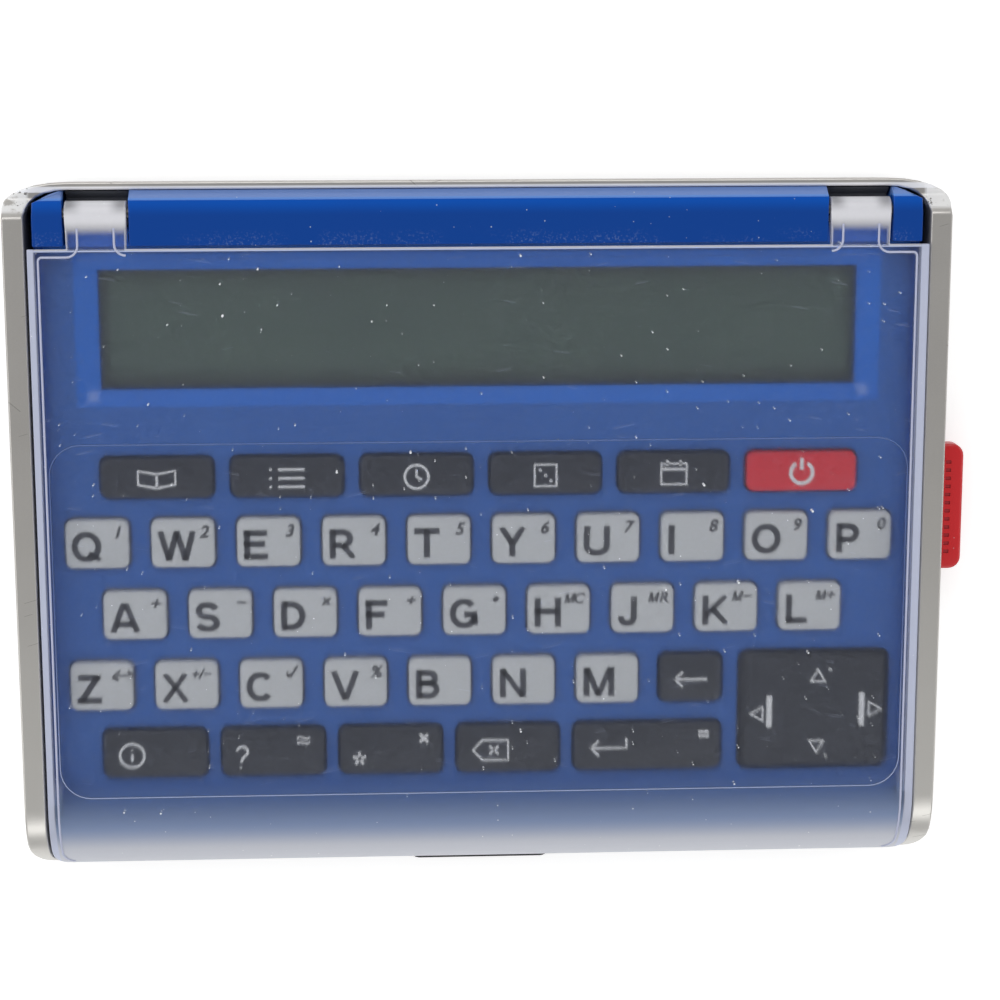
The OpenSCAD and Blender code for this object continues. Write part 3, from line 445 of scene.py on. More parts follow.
print("lid across in mm:", round(2 * lid_half, 2))

# %% [markdown]
# The rest are mouldings, rubber, glass and small metal parts. They share one
# recipe with different colours: a grain of a given size, cloudiness in the
# colour and, where hands touch the piece, specks and a polish in patches.

# %% Mouldings, rubber, glass and metal
def moulded(name, rgb, rough, grain_size=0.2, grain_depth=0.02, variety=0.12, specks=0.0, **constants):
    """A material of one colour, 0 to 255, with grain, cloudiness and, if given, specks."""
    tint = colour(*rgb)
    material, paint = surface(name, tint, rough, **constants)
    grain = clouds(paint, grain_size)
    cloudy = clouds(paint, 40 * grain_size, 2.0, 2.0)
    light = tuple(min(1.0, c * (1 + variety) + variety * 0.02) for c in tint)
    dark = tuple(c * (1 - variety) for c in tint)
    tone = (cloudy * 0.7 + grain * 0.3).blend(dark, light)
    if specks:
        tone = layered(tone, (dust(paint, 1.4, 0.08, 0.2, 8.0) * specks, 190, 192, 196))
    dress(paint, base_color=tone, roughness=rough - 0.05 + cloudy * 0.1)
    bump(paint, grain, grain_depth)
    return material


key_white = moulded("white_key_plastic", (190, 193, 196), 0.45, 0.22, 0.02, 0.05, 0.4)
key_black = moulded("black_key_plastic", (24, 29, 40), 0.42, 0.2, 0.02, 0.15, 0.5)
key_red = moulded("red_key_plastic", (205, 30, 46), 0.4, 0.2, 0.02, 0.06, 0.4)
# Painted highlights: pale beads for the lines on the lid, the panel's line brighter towards the front.
rib_highlight = moulded("rib_highlight_line", (206, 211, 236), 0.35, 0.2, 0.002, 0.06, transmission_weight=0.2)
panel_highlight, paint = surface("panel_highlight_line", colour(120, 138, 184), 0.4, transmission_weight=0.3)
x, y, z = position(paint)
front_highlight = (0 - y).between(10.0, 36.0)
dress(paint, base_color=layered(colour(110, 130, 178), (front_highlight, 190, 200, 228)))
tab_pit_painted_shade = moulded("red_tab_pit_shade", (172, 26, 38), 0.5, 0.25, 0.01, 0.08)
tab_red = moulded("red_tab_plastic", (214, 36, 42), 0.3, 0.25, 0.01, 0.08, 0.5)
cover_black = moulded("black_cover_plastic", (34, 34, 37), 0.55, 0.3, 0.06, 0.2, 0.3)
# Painted light: a lighter blue than the housing, for the step that the lid shades.
lightened_step_blue = moulded("lightened_step_blue_plastic", (30, 100, 205), 0.4)
# Painted light: the black plastic in the notches is a lighter grey, against the shade there.
lightened_pocket_black = moulded("lightened_pocket_plastic", (84, 87, 94), 0.6, 0.3, 0.03, 0.2, 0.6)
notch_black = moulded("black_gimbal_plastic", (40, 40, 44), 0.5, 0.2, 0.02, 0.15)
dark_ink = moulded("dark_print", (44, 46, 54), 0.55, 0.1, 0.004, 0.1)
pale_ink = moulded("pale_print", (214, 216, 220), 0.55, 0.1, 0.004, 0.05)
rubber = moulded("mat_rubber", (205, 204, 196), 0.7, 0.15, 0.01, 0.06)
seal = moulded("black_gasket", (22, 22, 24), 0.8, 0.12, 0.02, 0.2)
strip_rubber = moulded("striped_rubber", (222, 120, 140), 0.6, 0.1, 0.01, 0.1)
card = moulded("slip_card", (236, 233, 220), 0.6, 0.3, 0.01, 0.05)
epoxy = moulded("chip_epoxy", (18, 18, 20), 0.25, 0.8, 0.05, 0.2)
steel = moulded("steel", (190, 188, 182), 0.28, 0.15, 0.006, 0.1, metallic=1.0)
dark_steel = moulded("dark_steel", (96, 94, 92), 0.35, 0.15, 0.006, 0.15, metallic=1.0)
brass = moulded("brass", (204, 176, 104), 0.3, 0.15, 0.006, 0.1, metallic=1.0)

# %% [markdown]
# The display is a grey-green glass that is off, behind a clear window. It is
# darker along its edges, where the housing shades it, and close up it shows the
# faint columns of its character cells. The board inside is green with copper
# tracks under the lacquer.

# %% Display and board
lcd, paint = surface("display_glass", colour(96, 108, 100), 0.3)
x, y, z = position(paint)
column_pitch = 5.15
cells = x / column_pitch + 100
columns = (cells.math("FRACT", cells) > 0.9) * 0.06
cloudy = clouds(paint, 14.0, 2.0, 3.0)
window_side, window_back, window_front = 51.8, 36.4, 19.8
near_edge = largest(
    y.between(window_back - 2.4, window_back),
    (0 - y).between(-window_front - 3.6, -window_front),
    distance(x).between(window_side - 2.4, window_side),
)
grey_green = layered(
    colour(68, 88, 81), (cloudy, 82, 102, 91), (near_edge * 0.6, 34, 40, 38), (columns, 40, 50, 46)
)
dress(paint, base_color=grey_green, roughness=0.25 + cloudy * 0.1)

window, paint = surface(
    "window_plastic", (0.96, 0.98, 0.97), 0.04, transmission_weight=1.0, ior=1.45, alpha=0.5
)
dress(paint, roughness=0.03 + hairlines(paint, 8.0, 0.05, 0.3, 0.05, 4.0) * 0.2)

board, paint = surface("green_board", colour(24, 92, 56), 0.3)
tracks = paint.node("ShaderNodeTexBrick", {
    "Vector": coordinates(paint), "Scale": 0.4, "Mortar Size": 0.04, "Mortar Smooth": 0.0, "Bias": 0.0,
    "Brick Width": 0.9, "Row Height": 0.35, "Color1": black, "Color2": black, "Mortar": white,
}, "Fac")
dress(paint, base_color=layered(colour(20, 84, 50), (tracks, 46, 132, 74)), roughness=0.3 + tracks * 0.1)
bump(paint, tracks, 0.02)
print("finishes made:", len(bpy.data.materials))

# %% [markdown]
# ## Finishes on the solids that stay
#
# The small parts inside already have their real shape in the construction.
# They keep it, and only get their finish.

# %% Finish the plain solids
stay = {
    "hinge_pins": dark_steel, "display_lens": window, "display_gasket": seal, "display_panel": lcd,
    "display_connector": strip_rubber, "circuit_board": board, "chip_cover": epoxy,
    "dpad_gimbal": notch_black, "battery": steel, "battery_contacts": brass, "buzzer": brass,
    "reset_button": notch_black, "reference_slip": card,
}
for node, finish in stay.items():
    solid = nodes[node]
    for place in solid.material_slots:
        place.material = finish
print("solids with a finish:", len(stay))

# %% [markdown]
# ## Mouldings with broken edges
#
# No moulding has a knife edge: the mould's corners are rounded by a few tenths
# of a millimetre, and that narrow band catches the light. The copy of a solid
# is merged and its flat faces are joined, then a Bevel modifier rounds every
# sharp edge. A reshape may move the copy's points first: the back wall leans in
# a little, the blocks beside the hinge arms end square, and the rubber domes
# stand at their pressed height, where no key can cut into them.

# %% A copy of a solid with its edges rounded
def softened(node, name, edge, finish, body, segments=2, reshape=None, keep=None):
    """Copies a node's mesh, may move its points, and rounds its sharp edges, or those that are kept."""
    mesh = nodes[node].data.copy()
    mesh.name = name
    shape = bmesh.new()
    shape.from_mesh(mesh)
    if reshape:
        for vertex in shape.verts:
            vertex.co = Vector(reshape(*(vertex.co / mm))) * mm
    bmesh.ops.remove_doubles(shape, verts=shape.verts, dist=0.03 * mm)
    bmesh.ops.dissolve_limit(
        shape, angle_limit=math.radians(2), verts=shape.verts, edges=shape.edges, delimit={"NORMAL"}
    )
    bmesh.ops.recalc_face_normals(shape, faces=shape.faces)
    weight = shape.edges.layers.float.new("bevel_weight_edge")
    for line in shape.edges:
        sharp = len(line.link_faces) == 2 and line.calc_face_angle(0.0) > math.radians(35)
        line[weight] = float(sharp and (keep is None or keep(*[v.co / mm for v in line.verts])))
    shape.to_mesh(mesh)
    shape.free()
    mesh.materials.clear()
    mesh.materials.append(finish)
    piece = placed(name, mesh)
    round_off(piece, edge, segments)
    piece.modifiers.new("flatter", "WEIGHTED_NORMAL").keep_sharp = True
    shade(mesh, 60)
    apply_modifiers(piece, finish)
    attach(piece, body)
    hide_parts(node)
    print(name, "has", len(piece.data.polygons), "faces")
    return piece


def round_off(piece, width, segments, angle=None):
    """A Bevel modifier for the edges sharper than the angle, or for those with a weight. Width in mm."""
    rounding = piece.modifiers.new("rounding", "BEVEL")
    rounding.width = width * mm
    rounding.segments = segments
    rounding.limit_method = "ANGLE" if angle else "WEIGHT"
    if angle:
        rounding.angle_limit = math.radians(angle)
    rounding.use_clamp_overlap = False


def apply_modifiers(piece, finish):
    """Makes what the modifiers show the piece's own mesh, in one finish."""
    seen = bpy.context.evaluated_depsgraph_get()
    result = bpy.data.meshes.new_from_object(piece.evaluated_get(seen))
    piece.modifiers.clear()
    piece.data = result
    result.materials.clear()
    result.materials.append(finish)
    for face in result.polygons:
        face.material_index = 0


def shade(mesh, angle=32):
    """Smooth faces, with a crease wherever two faces meet at more than the angle."""
    mesh.shade_smooth()
    mesh.set_sharp_from_angle(angle=math.radians(angle))


def tucked(top, foot):
    """A reshape that moves the back wall in by `top` mm, and its outside by `foot` more at the foot."""
    band_top, start, wall_y, corner_x = 12.6, 44.9, 47.6, 55.0
    corner_wide, corner_deep, outer_share = 8.5, 3.6, 0.7

    def move(x, y, z):
        across, along = max(0.0, abs(x) - corner_x) / corner_wide, (y - start) / corner_deep
        if y < start or z > band_top + 0.1:
            return x, y, z
        outer = y > wall_y if across == 0.0 else across ** 2 + along ** 2 > outer_share
        lean = foot * (1 - z / band_top) if outer else 0.0
        return x, y - min(1.0, along) * (top + lean), z

    return move


def square_ended(x, y, z):
    """Narrows the blocks beside the hinge arms and cuts their back corners straight."""
    start_x, end_x, narrower, deck_z, fascia_y, back_half = 56.0, 60.3, 0.8, 11.5, 39.5, 43.5
    wall_y, edge_y, edge_z, foot_z, fall = 46.9, 45.9, 14.6, 12.8, 1.8 / 1.1
    if abs(x) < start_x - 1.4 or y < fascia_y or z < deck_z:
        return x, y, z
    new_x = abs(x) - narrower * max(0.0, abs(x) - start_x) / (end_x - start_x)
    new_y, new_z = y, z
    if y > back_half:
        cut_y = 45.46 + 0.453 * (end_x - narrower - new_x)
        new_y = min(wall_y, max(y, cut_y))
        if z > edge_z - 0.02:
            new_y = min(new_y, edge_y)
        elif z > foot_z - 0.02:
            new_z = min(edge_z, edge_z - (new_y - edge_y) * fall)
    return math.copysign(new_x, x), new_y, new_z


def collapsed(x, y, z):
    """Leaves the mat's domes at the height that a full press takes them to."""
    between, under_keys, under_pad = 9.5, 8.2, 8.7
    return x, y, under_pad if z > between else min(z, under_keys)


def on_show(a, b):
    """Edges of the housing that are seen: the keypad, the window's border and the fascia."""
    notch_x, low_z, deck_z, block_z, band_y, keypad_y = 56, 10.3, 11.45, 12.7, 46.5, 14
    lowest, nearest = min(a.z, b.z), min(a.y, b.y)
    inside = max(abs(a.x), abs(b.x)) < notch_x
    at_foot = nearest > keypad_y and max(a.z, b.z) < deck_z
    return lowest > low_z and (inside or lowest > block_z) and nearest <= band_y and not at_foot


softened("side_frame", "silver_rails", 0.3, silver, "casing", 3, tucked(0.35, 0.8))
housing = softened(
    "front_housing", "blue_housing", 0.18, blue, "casing", 2, square_ended, on_show
)
softened("rear_cover", "black_base", 0.2, cover_black, "casing", reshape=tucked(0.85, 0.0))
softened("battery_door", "battery_hatch", 0.12, cover_black, "battery_door")
softened("keypad_mat", "rubber_mat", 0.15, rubber, "casing", reshape=collapsed)

# %% [markdown]
# Behind each hinge arm one looks down onto the black rear cover, so the housing's
# faces at the bottom of that notch take the black plastic, painted a lighter grey
# than the cover against the shade in the notch. Below the front half of the arm
# the blue housing rises in a short step, painted a lighter blue where the lid
# shades it.

# %% The notches of the hinge
def distance_to_arm(px):
    """How far a place across the object is from the middle of the nearer arm."""
    return abs(abs(px) - arm_middle)


pocket_reach, pocket_y, pocket_z = arm_half + 0.9, 44.5, 8
housing.data.materials.append(lightened_pocket_black)
for face in housing.data.polygons:
    spot = face.center / mm
    if distance_to_arm(spot.x) < pocket_reach and spot.y > pocket_y and spot.z < pocket_z:
        face.material_index = 1


def across_notches(name, profile, finish):
    """A bar with the given side view, in mm, across both notches of the hinge."""
    half = arm_half + 0.2
    shape = bmesh.new()
    for side in (-1, 1):
        outline = [shape.verts.new((side * arm_middle - half, py, pz)) for py, pz in profile]
        grown = bmesh.ops.extrude_face_region(shape, geom=[shape.faces.new(outline)])
        moved = [v for v in grown["geom"] if isinstance(v, bmesh.types.BMVert)]
        bmesh.ops.translate(shape, verts=moved, vec=(2 * half, 0, 0))
    bmesh.ops.scale(shape, vec=(mm, mm, mm), verts=shape.verts)
    bmesh.ops.recalc_face_normals(shape, faces=shape.faces)
    mesh = bpy.data.meshes.new(name)
    shape.to_mesh(mesh)
    shape.free()
    mesh.materials.append(finish)
    bar = placed(name, mesh)
    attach(bar, "casing")
    print(name, "has", len(mesh.polygons), "faces")


step = [(39.6, 10.6), (42.0, 10.6), (42.0, 12.3), (41.6, 12.8), (39.6, 12.8)]
pocket = [(42.2, 9.4), (46.9, 9.4), (46.9, 12.2), (45.9, 10.7), (42.2, 9.9)]
across_notches("hinge_steps", step, lightened_step_blue)
across_notches("notch_floors", pocket, lightened_pocket_black)

# %% [markdown]
# The lid is one moulding. The low panel over the keys only shows as a fine line
# round it, and a second line runs inside the lid's rim and up into the hinge
# arms, where its ribs meet the plate. The step of the panel is pressed flat in
# the copy, and both lines are laid on as thin beads that follow the plate and
# its round nose, in pale finishes that are painted highlights; the panel's line
# is painted brighter towards the front.

# %% The frosted lid
plate_top = 14.9
nose_y, nose_z, nose_r = -38.0, 4.1, 10.8


def level(x, y, z):
    """Presses the raised panel down to the plate, and brings the plate's edges near their neighbours."""
    right_out, left_out, arm_out, back_out = 0.3, 0.05, 0.15, 0.25
    if abs(x) > lid_half - 1:
        x += right_out if x > 0 else -left_out
    if y > lid_back + 0.02 and abs(distance_to_arm(x) - arm_half) < 0.1:
        x += math.copysign(arm_out, x) * (1 if abs(x) > arm_middle else -1)
    if abs(y - lid_back) < 0.02 and z > plate_top - 0.4:
        y += back_out
    return x, y, min(z, plate_top)


softened("lid", "frosted_lid", 0.14, frosted, "lid", reshape=level)


def on_plate(x, y):
    """A point on the lid's outside, on the flat plate or on the round nose."""
    drop = max(0.0, nose_y - y)
    return (x * mm, y * mm, (nose_z + math.sqrt(nose_r ** 2 - drop ** 2)) * mm)


def arc(x, y, wide, tall, start, end, steps):
    """Points on an upright ellipse, angles in degrees."""
    angles = [math.radians(start + (end - start) * i / steps) for i in range(steps + 1)]
    return [(x + wide * math.cos(a), y + tall * math.sin(a)) for a in angles]


def mesh_of(curve):
    """The mesh that a curve or a text shows."""
    holder = placed(curve.name, curve)
    seen = bpy.context.evaluated_depsgraph_get()
    mesh = bpy.data.meshes.new_from_object(holder.evaluated_get(seen))
    bpy.data.objects.remove(holder)
    return mesh


def tubes(lines, radius, resolution, closed=()):
    """Lines of points as a mesh of tubes. Those whose numbers are in `closed` are loops."""
    curve = bpy.data.curves.new("tubes", "CURVE")
    curve.dimensions = "3D"
    curve.bevel_depth = radius
    curve.bevel_resolution = resolution
    curve.use_fill_caps = True
    for number, line in enumerate(lines):
        spline = curve.splines.new("POLY")
        spline.points.add(len(line) - 1)
        spline.use_cyclic_u = number in closed
        for point, place in zip(spline.points, line):
            point.co = (*place, 1)
    return mesh_of(curve)


# %% The lines on the lid
line_in, rib_in, rib_y, barrel_front = 1.4, 1.5, lid_back - 0.85, 42.2
line_x = lid_half - line_in
arm_out, arm_in = arm_middle + arm_half, arm_middle - arm_half
front_turn, back_turn = 3.5, 0.5
rim_line = arc(lid_half - front_turn, -45.3, front_turn - line_in, front_turn - line_in, -70, 0, 6)
rim_line += [(line_x, -44 + 2 * i) for i in range(5)]
rim_line += arc(line_x - back_turn, rib_y - back_turn, back_turn, back_turn, 0, 90, 4)
rim_line += arc(arm_out, rib_y + rib_in, rib_in, rib_in, 270, 180, 6)
rim_line += [(arm_out - rib_in, barrel_front)]
inner_line = [(arm_in + rib_in, barrel_front)]
inner_line += arc(arm_in, rib_y + rib_in + 0.2, rib_in, rib_in, 0, -90, 6)
lines = [rim_line, inner_line]
lines += [[(-px, py) for px, py in line] for line in lines]

panel_x, panel_low, panel_high, panel_turn = lid_half - 1.85, -36.5, 13.05, 4.2
outline = []
for number, (sx, sy) in enumerate([(1, 1), (-1, 1), (-1, -1), (1, -1)]):
    turn_y = panel_high - panel_turn if sy > 0 else panel_low + panel_turn
    start = 90 * number
    outline += arc(sx * (panel_x - panel_turn), turn_y, panel_turn, panel_turn, start, start + 90, 8)

for name, paths, radius, closed, finish in (
    ("rib_lines", lines, 0.17, (), rib_highlight), ("panel_highlight", [outline], 0.07, (0,), panel_highlight)
):
    mesh = tubes([[on_plate(*point) for point in line] for line in paths], radius * mm, 1, closed)
    mesh.materials.clear()
    mesh.materials.append(finish)
    shade(mesh, 80)
    lid_bead = placed(name, mesh)
    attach(lid_bead, "lid")
    print(name, "has", len(mesh.polygons), "faces")

# %% [markdown]
# ## Keys
#
# A key is a cap with round corners on a flange that keeps it under the deck.
# All 38 caps follow one rule and differ only in size, so one geometry tree
# makes them: a rectangle, its corners filleted, filled, drawn up to the key's
# height, and a thin plate under it for the flange.

# %% The tree for a key cap
def geometry_tree(name, sizes):
    """An empty geometry tree with named number inputs and a Material input."""
    tree = bpy.data.node_groups.new(name, "GeometryNodeTree")
    tree.interface.new_socket("Mesh", in_out="OUTPUT", socket_type="NodeSocketGeometry")
    tree.interface.new_socket("Base", in_out="INPUT", socket_type="NodeSocketGeometry")
    for label, value in sizes.items():
        kind = "NodeSocketInt" if isinstance(value, int) else "NodeSocketFloat"
        tree.interface.new_socket(label, in_out="INPUT", socket_type=kind).default_value = value
    tree.interface.new_socket("Finish", in_out="INPUT", socket_type="NodeSocketMaterial")
    entry = tree.nodes.new("NodeGroupInput")
    wires = {s.name: Wire(tree, s) for s in entry.outputs if s.name}
    return tree, Wire(tree), wires


def close_tree(build, result, wires):
    """Ends a tree in Realize Instances and Set Material."""
    real = build.node("GeometryNodeRealizeInstances", {0: result})
    painted = build.node("GeometryNodeSetMaterial", {"Geometry": real, "Material": wires["Finish"]})
    build.node("NodeGroupOutput", {0: painted})


def grow(tree, name, finish, sizes, base=None):
    """A new object with a tree and its inputs. apply_modifiers then makes the result its plain mesh."""
    piece = placed(name, base or bpy.data.meshes.new(name))
    run = piece.modifiers.new("grow", "NODES")
    run.node_group = tree
    given = {**sizes, "Finish": finish}
    for item in tree.interface.items_tree:
        if item.in_out == "INPUT" and item.name in given:
            run[item.identifier] = given[item.name]
    return piece


def joined(*parts):
    """Several meshes in a tree as one."""
    made = parts[0].node("GeometryNodeJoinGeometry", {0: parts[0]})
    for part in parts[1:]:
        part.tree.links.new(part.socket, made.socket.node.inputs[0])
    return made


def slab(build, width, depth, corner, steps, thickness):
    """A plate in a tree: a rectangle, its corners filleted, filled and drawn up."""
    outline = build.node("GeometryNodeCurvePrimitiveQuadrilateral", {"Width": width, "Height": depth})
    outline = build.node(
        "GeometryNodeFilletCurve", {"Curve": outline, "Radius": corner, "Count": steps}, mode="POLY"
    )
    foot = build.node("GeometryNodeFillCurve", {"Curve": outline}, mode="NGONS")
    rise = {"Mesh": foot, "Offset Scale": thickness, "Individual": False}
    walls = build.node("GeometryNodeExtrudeMesh", rise, mode="FACES")
    skin = joined(walls, build.node("GeometryNodeFlipFaces", {0: foot}))
    return build.node("GeometryNodeMergeByDistance", {"Geometry": skin, "Distance": 0.001 * mm})


cap_sizes = {
    "Width": 9.2 * mm, "Depth": 7.3 * mm, "Corner": 1.0 * mm, "Low": 9.1 * mm, "Top": 12.5 * mm,
    "Flange Reach": 0.7 * mm, "Flange Height": 0.8 * mm, "X": 0.0, "Y": 0.0,
}
cap_tree, build, wires = geometry_tree("key_cap", cap_sizes)
cap = slab(build, wires["Width"], wires["Depth"], wires["Corner"], 5, wires["Top"] - wires["Low"])
size = build.node("ShaderNodeCombineXYZ", {
    0: wires["Width"] + wires["Flange Reach"] * 2,
    1: wires["Depth"] + wires["Flange Reach"] * 2,
    2: wires["Flange Height"],
})
flange = build.node("GeometryNodeMeshCube", {"Size": size})
lift = build.node("ShaderNodeCombineXYZ", {2: wires["Flange Height"] / 2})
flange = build.node("GeometryNodeTransform", {"Geometry": flange, "Translation": lift})
place = build.node("ShaderNodeCombineXYZ", {0: wires["X"], 1: wires["Y"], 2: wires["Low"]})
whole = build.node("GeometryNodeTransform", {"Geometry": joined(flange, cap), "Translation": place})
close_tree(build, whole, wires)
print("inputs of the key cap's tree:", len(wires))

# %% [markdown]
# The print on a key is ink, a hair thicker than nothing. Figures and small
# signs come from the font that is built in: each is made a mesh, scaled to its
# height on the key, slanted or thickened, and laid on the cap's top. Everything
# else is drawn with strokes, which are flat ribbons along lines of points.

# %% Letters and signs as thin ink
font_cap = 0.682
ink = 0.02 * mm


def glyph(text, height, x, y, top, bold=0.0, slant=0.0):
    """Text `height` mm tall, its middle at x, y in mm."""
    scale = height * mm / font_cap
    curve = bpy.data.curves.new("print", "FONT")
    curve.body = text
    curve.offset = bold
    curve.resolution_u = 3
    curve.shear = slant
    curve.extrude = ink / scale
    mesh = mesh_of(curve)
    xs = [v.co.x for v in mesh.vertices]
    move = Matrix.Translation((x * mm, (y - height / 2) * mm, top))
    mesh.transform(move @ Matrix.Scale(scale, 4) @ Matrix.Translation((-(max(xs) + min(xs)) / 2, 0, 0)))
    for vertex in mesh.vertices:
        vertex.co.z = top + (ink if vertex.co.z > top else -ink)
    return mesh


def strokes(lines, width, x, y, top, closed=(), half=math.inf):
    """Drawn signs: lines of points in mm become flat ribbons, cut off at `half` mm above and below y."""
    points = [[((x + px) * mm, (y + py) * mm, 0) for px, py in line] for line in lines]
    mesh = tubes(points, width * mm / 2, 0, closed)
    for vertex in mesh.vertices:
        vertex.co.z = top + (-ink if vertex.co.z < -0.1 * width * mm else ink)
        vertex.co.y = min(max(vertex.co.y, (y - half) * mm), (y + half) * mm)
    return mesh


print("ink is thick in mm:", 2 * ink / mm)

# %% [markdown]
# The capitals are drawn with one even stroke, as on a label made for reading
# at a glance. Each is a few lines in a box one unit high: where they cross they
# simply overlap, and slanting strokes are cut level at the top and the foot.

# %% The capitals
stroke = 0.205
edge_line = stroke / 2
high_line, low_line = 1 - edge_line, edge_line


def stem(x=edge_line):
    """An upright stroke."""
    return [(x, 0), (x, 1)]


def bar(y, start, end):
    """A level stroke."""
    return [(start, y), (end, y)]


def bowl(turn_x, wide, top_line, foot_line):
    """Half a loop to the right of a stem."""
    middle_y, tall = (top_line + foot_line) / 2, (top_line - foot_line) / 2
    turn = arc(turn_x, middle_y, wide, tall, 90, -90, 14)
    return [(edge_line, top_line)] + turn + [(edge_line, foot_line)]


CAPITALS = {
    "A": [[(0.08, 0), (0.4, 1)], [(0.78, 0), (0.46, 1)], bar(0.28, 0.18, 0.68)],
    "B": [stem(), bowl(0.38, 0.2, high_line, 0.54), bowl(0.4, 0.22, 0.54, low_line)],
    "C": [arc(0.4, 0.5, 0.32, 0.42, 42, 318, 24)],
    "D": [stem(), bowl(0.31, 0.33, high_line, low_line)],
    "E": [stem(), bar(high_line, 0, 0.68), bar(0.53, 0, 0.62), bar(low_line, 0, 0.7)],
    "F": [stem(), bar(high_line, 0, 0.65), bar(0.5, 0, 0.56)],
    "G": [arc(0.41, 0.5, 0.33, 0.42, 42, 345, 26), bar(0.46, 0.42, 0.8), [(0.73, 0.46), (0.73, 0.1)]],
    "H": [stem(), stem(0.7), bar(0.53, 0, 0.74)],
    "I": [stem()],
    "J": [[(0.46, 1)] + arc(0.27, 0.29, 0.19, 0.21, 0, -180, 14) + [(0.08, 0.33)]],
    "K": [stem(), [(0.1, 0.3), (0.68, 1)], [(0.3, 0.56), (0.72, 0)]],
    "L": [stem(), bar(low_line, 0, 0.64)],
    "M": [stem(), stem(0.84), [(0.12, 1), (0.46, 0)], [(0.8, 1), (0.46, 0)]],
    "N": [stem(), stem(0.7), [(0.1, 1), (0.68, 0)]],
    "O": [arc(0.42, 0.5, 0.34, 0.42, 0, 360, 28)],
    "P": [stem(), bowl(0.38, 0.22, high_line, 0.43)],
    "Q": [arc(0.42, 0.5, 0.34, 0.42, 0, 360, 28), [(0.48, 0.28), (0.8, 0.03)]],
    "R": [stem(), bowl(0.4, 0.21, high_line, 0.45), [(0.4, 0.45), (0.7, 0)]],
    "S": [arc(0.35, 0.71, 0.25, 0.21, 15, 270, 14) + arc(0.35, 0.29, 0.27, 0.21, 90, -165, 14)],
    "T": [bar(high_line, 0, 0.74), stem(0.37)],
    "U": [[(edge_line, 1)] + arc(0.38, 0.34, 0.3, 0.26, 180, 360, 14) + [(0.68, 1)]],
    "V": [[(0.08, 1), (0.4, 0)], [(0.74, 1), (0.42, 0)]],
    "W": [[(0.08, 1), (0.31, 0)], [(0.31, 0), (0.55, 1)], [(0.55, 1), (0.79, 0)], [(0.79, 0), (1.02, 1)]],
    "X": [[(0.08, 0), (0.68, 1)], [(0.7, 0), (0.1, 1)]],
    "Y": [[(0.08, 1), (0.38, 0.45)], [(0.7, 1), (0.4, 0.45)], [(0.39, 0.5), (0.39, 0)]],
    "Z": [bar(high_line, 0.04, 0.7), bar(low_line, 0, 0.72), [(0.62, 0.95), (0.1, 0.05)]],
}


def capital(letter, height, left, y, top, slant=0.0, wide=1.0):
    """A capital as thin ink, its left edge and its middle height in mm."""
    lines = [
        [((px * wide + slant * (py - 0.5)) * height, (py - 0.5) * height) for px, py in line]
        for line in CAPITALS[letter]
    ]
    closed = (0,) if letter in "OQ" else ()
    return strokes(lines, stroke * height, left, y, top, closed, height / 2)


print("capitals:", len(CAPITALS))

# %% Join print to a cap
def print_on(piece, meshes, inks):
    """Adds thin meshes to a piece, as a second finish."""
    piece.data.materials.append(inks)
    shape = bmesh.new()
    shape.from_mesh(piece.data)
    for mesh in meshes:
        before = len(shape.faces)
        shape.from_mesh(mesh)
        shape.faces.ensure_lookup_table()
        for face in shape.faces[before:]:
            face.material_index = 1
            face.smooth = False
        bpy.data.meshes.remove(mesh)
    shape.to_mesh(piece.data)
    shape.free()


# %% [markdown]
# The keys of the top and bottom rows carry small signs for their functions: a
# book, a list, a clock, a die, a calendar page, a power sign, an arrow back, an
# information sign, a question mark, a star, a clear sign and a return arrow.

# %% The signs
def ring(x, y, radius, start=0.0, end=360.0, steps=36):
    """Points round a circle, angles in degrees. A whole turn leaves out its last point."""
    points = arc(x, y, radius, radius, start, end, steps)
    return points[:-1] if end - start >= 360 else points


def page(width, height, x=0.0, y=0.0):
    """The four corners of an upright rectangle."""
    w, h = width / 2, height / 2
    return [(x - w, y - h), (x + w, y - h), (x + w, y + h), (x - w, y + h)]


def sign(lines, closed=(), x=0.0, y=-0.15, weight=0.34, scale=1.2):
    """A sign's lines, which of them close, where it lies on its key and how broad its strokes are."""
    return [[(px * scale, py * scale) for px, py in line] for line in lines], closed, x, y, weight


book = [[(0, -1.0), (-2.1, -0.6), (-2.1, 1.0), (0, 0.6), (2.1, 1.0), (2.1, -0.6)], [(0, 0.6), (0, -1.0)]]
rows = [[(start, row), (end, row)] for row in (1.0, 0, -1.0) for start, end in ((-2, -1.7), (-1, 2))]
die = [page(2.5, 2.5)] + [page(0.12, 0.12, spot, -spot) for spot in (-0.62, 0.62, 0)]
calendar = [page(2.9, 2.4), [(-1.4, 0.55), (1.4, 0.55)]] + [[(px, 0.9), (px, 1.6)] for px in (-0.75, 0.75)]
tag = [(-2.1, 0), (-1.0, 1.2), (2.0, 1.2), (2.0, -1.2), (-1.0, -1.2)]
back_turn = [[(2.2, 1.2), (2.2, 0), (-2.0, 0)], [(-1.0, 0.9), (-2.0, 0), (-1.0, -0.9)]]
hook = arc(0.1, 0.8, 0.75, 0.7, 170, -60, 14) + [(0.05, -0.3), (-0.05, -0.75)]
spokes = [[(0, 0), (0.95 * math.sin(a), 0.95 * math.cos(a))] for a in (0, 1.257, 2.513, 3.77, 5.027)]
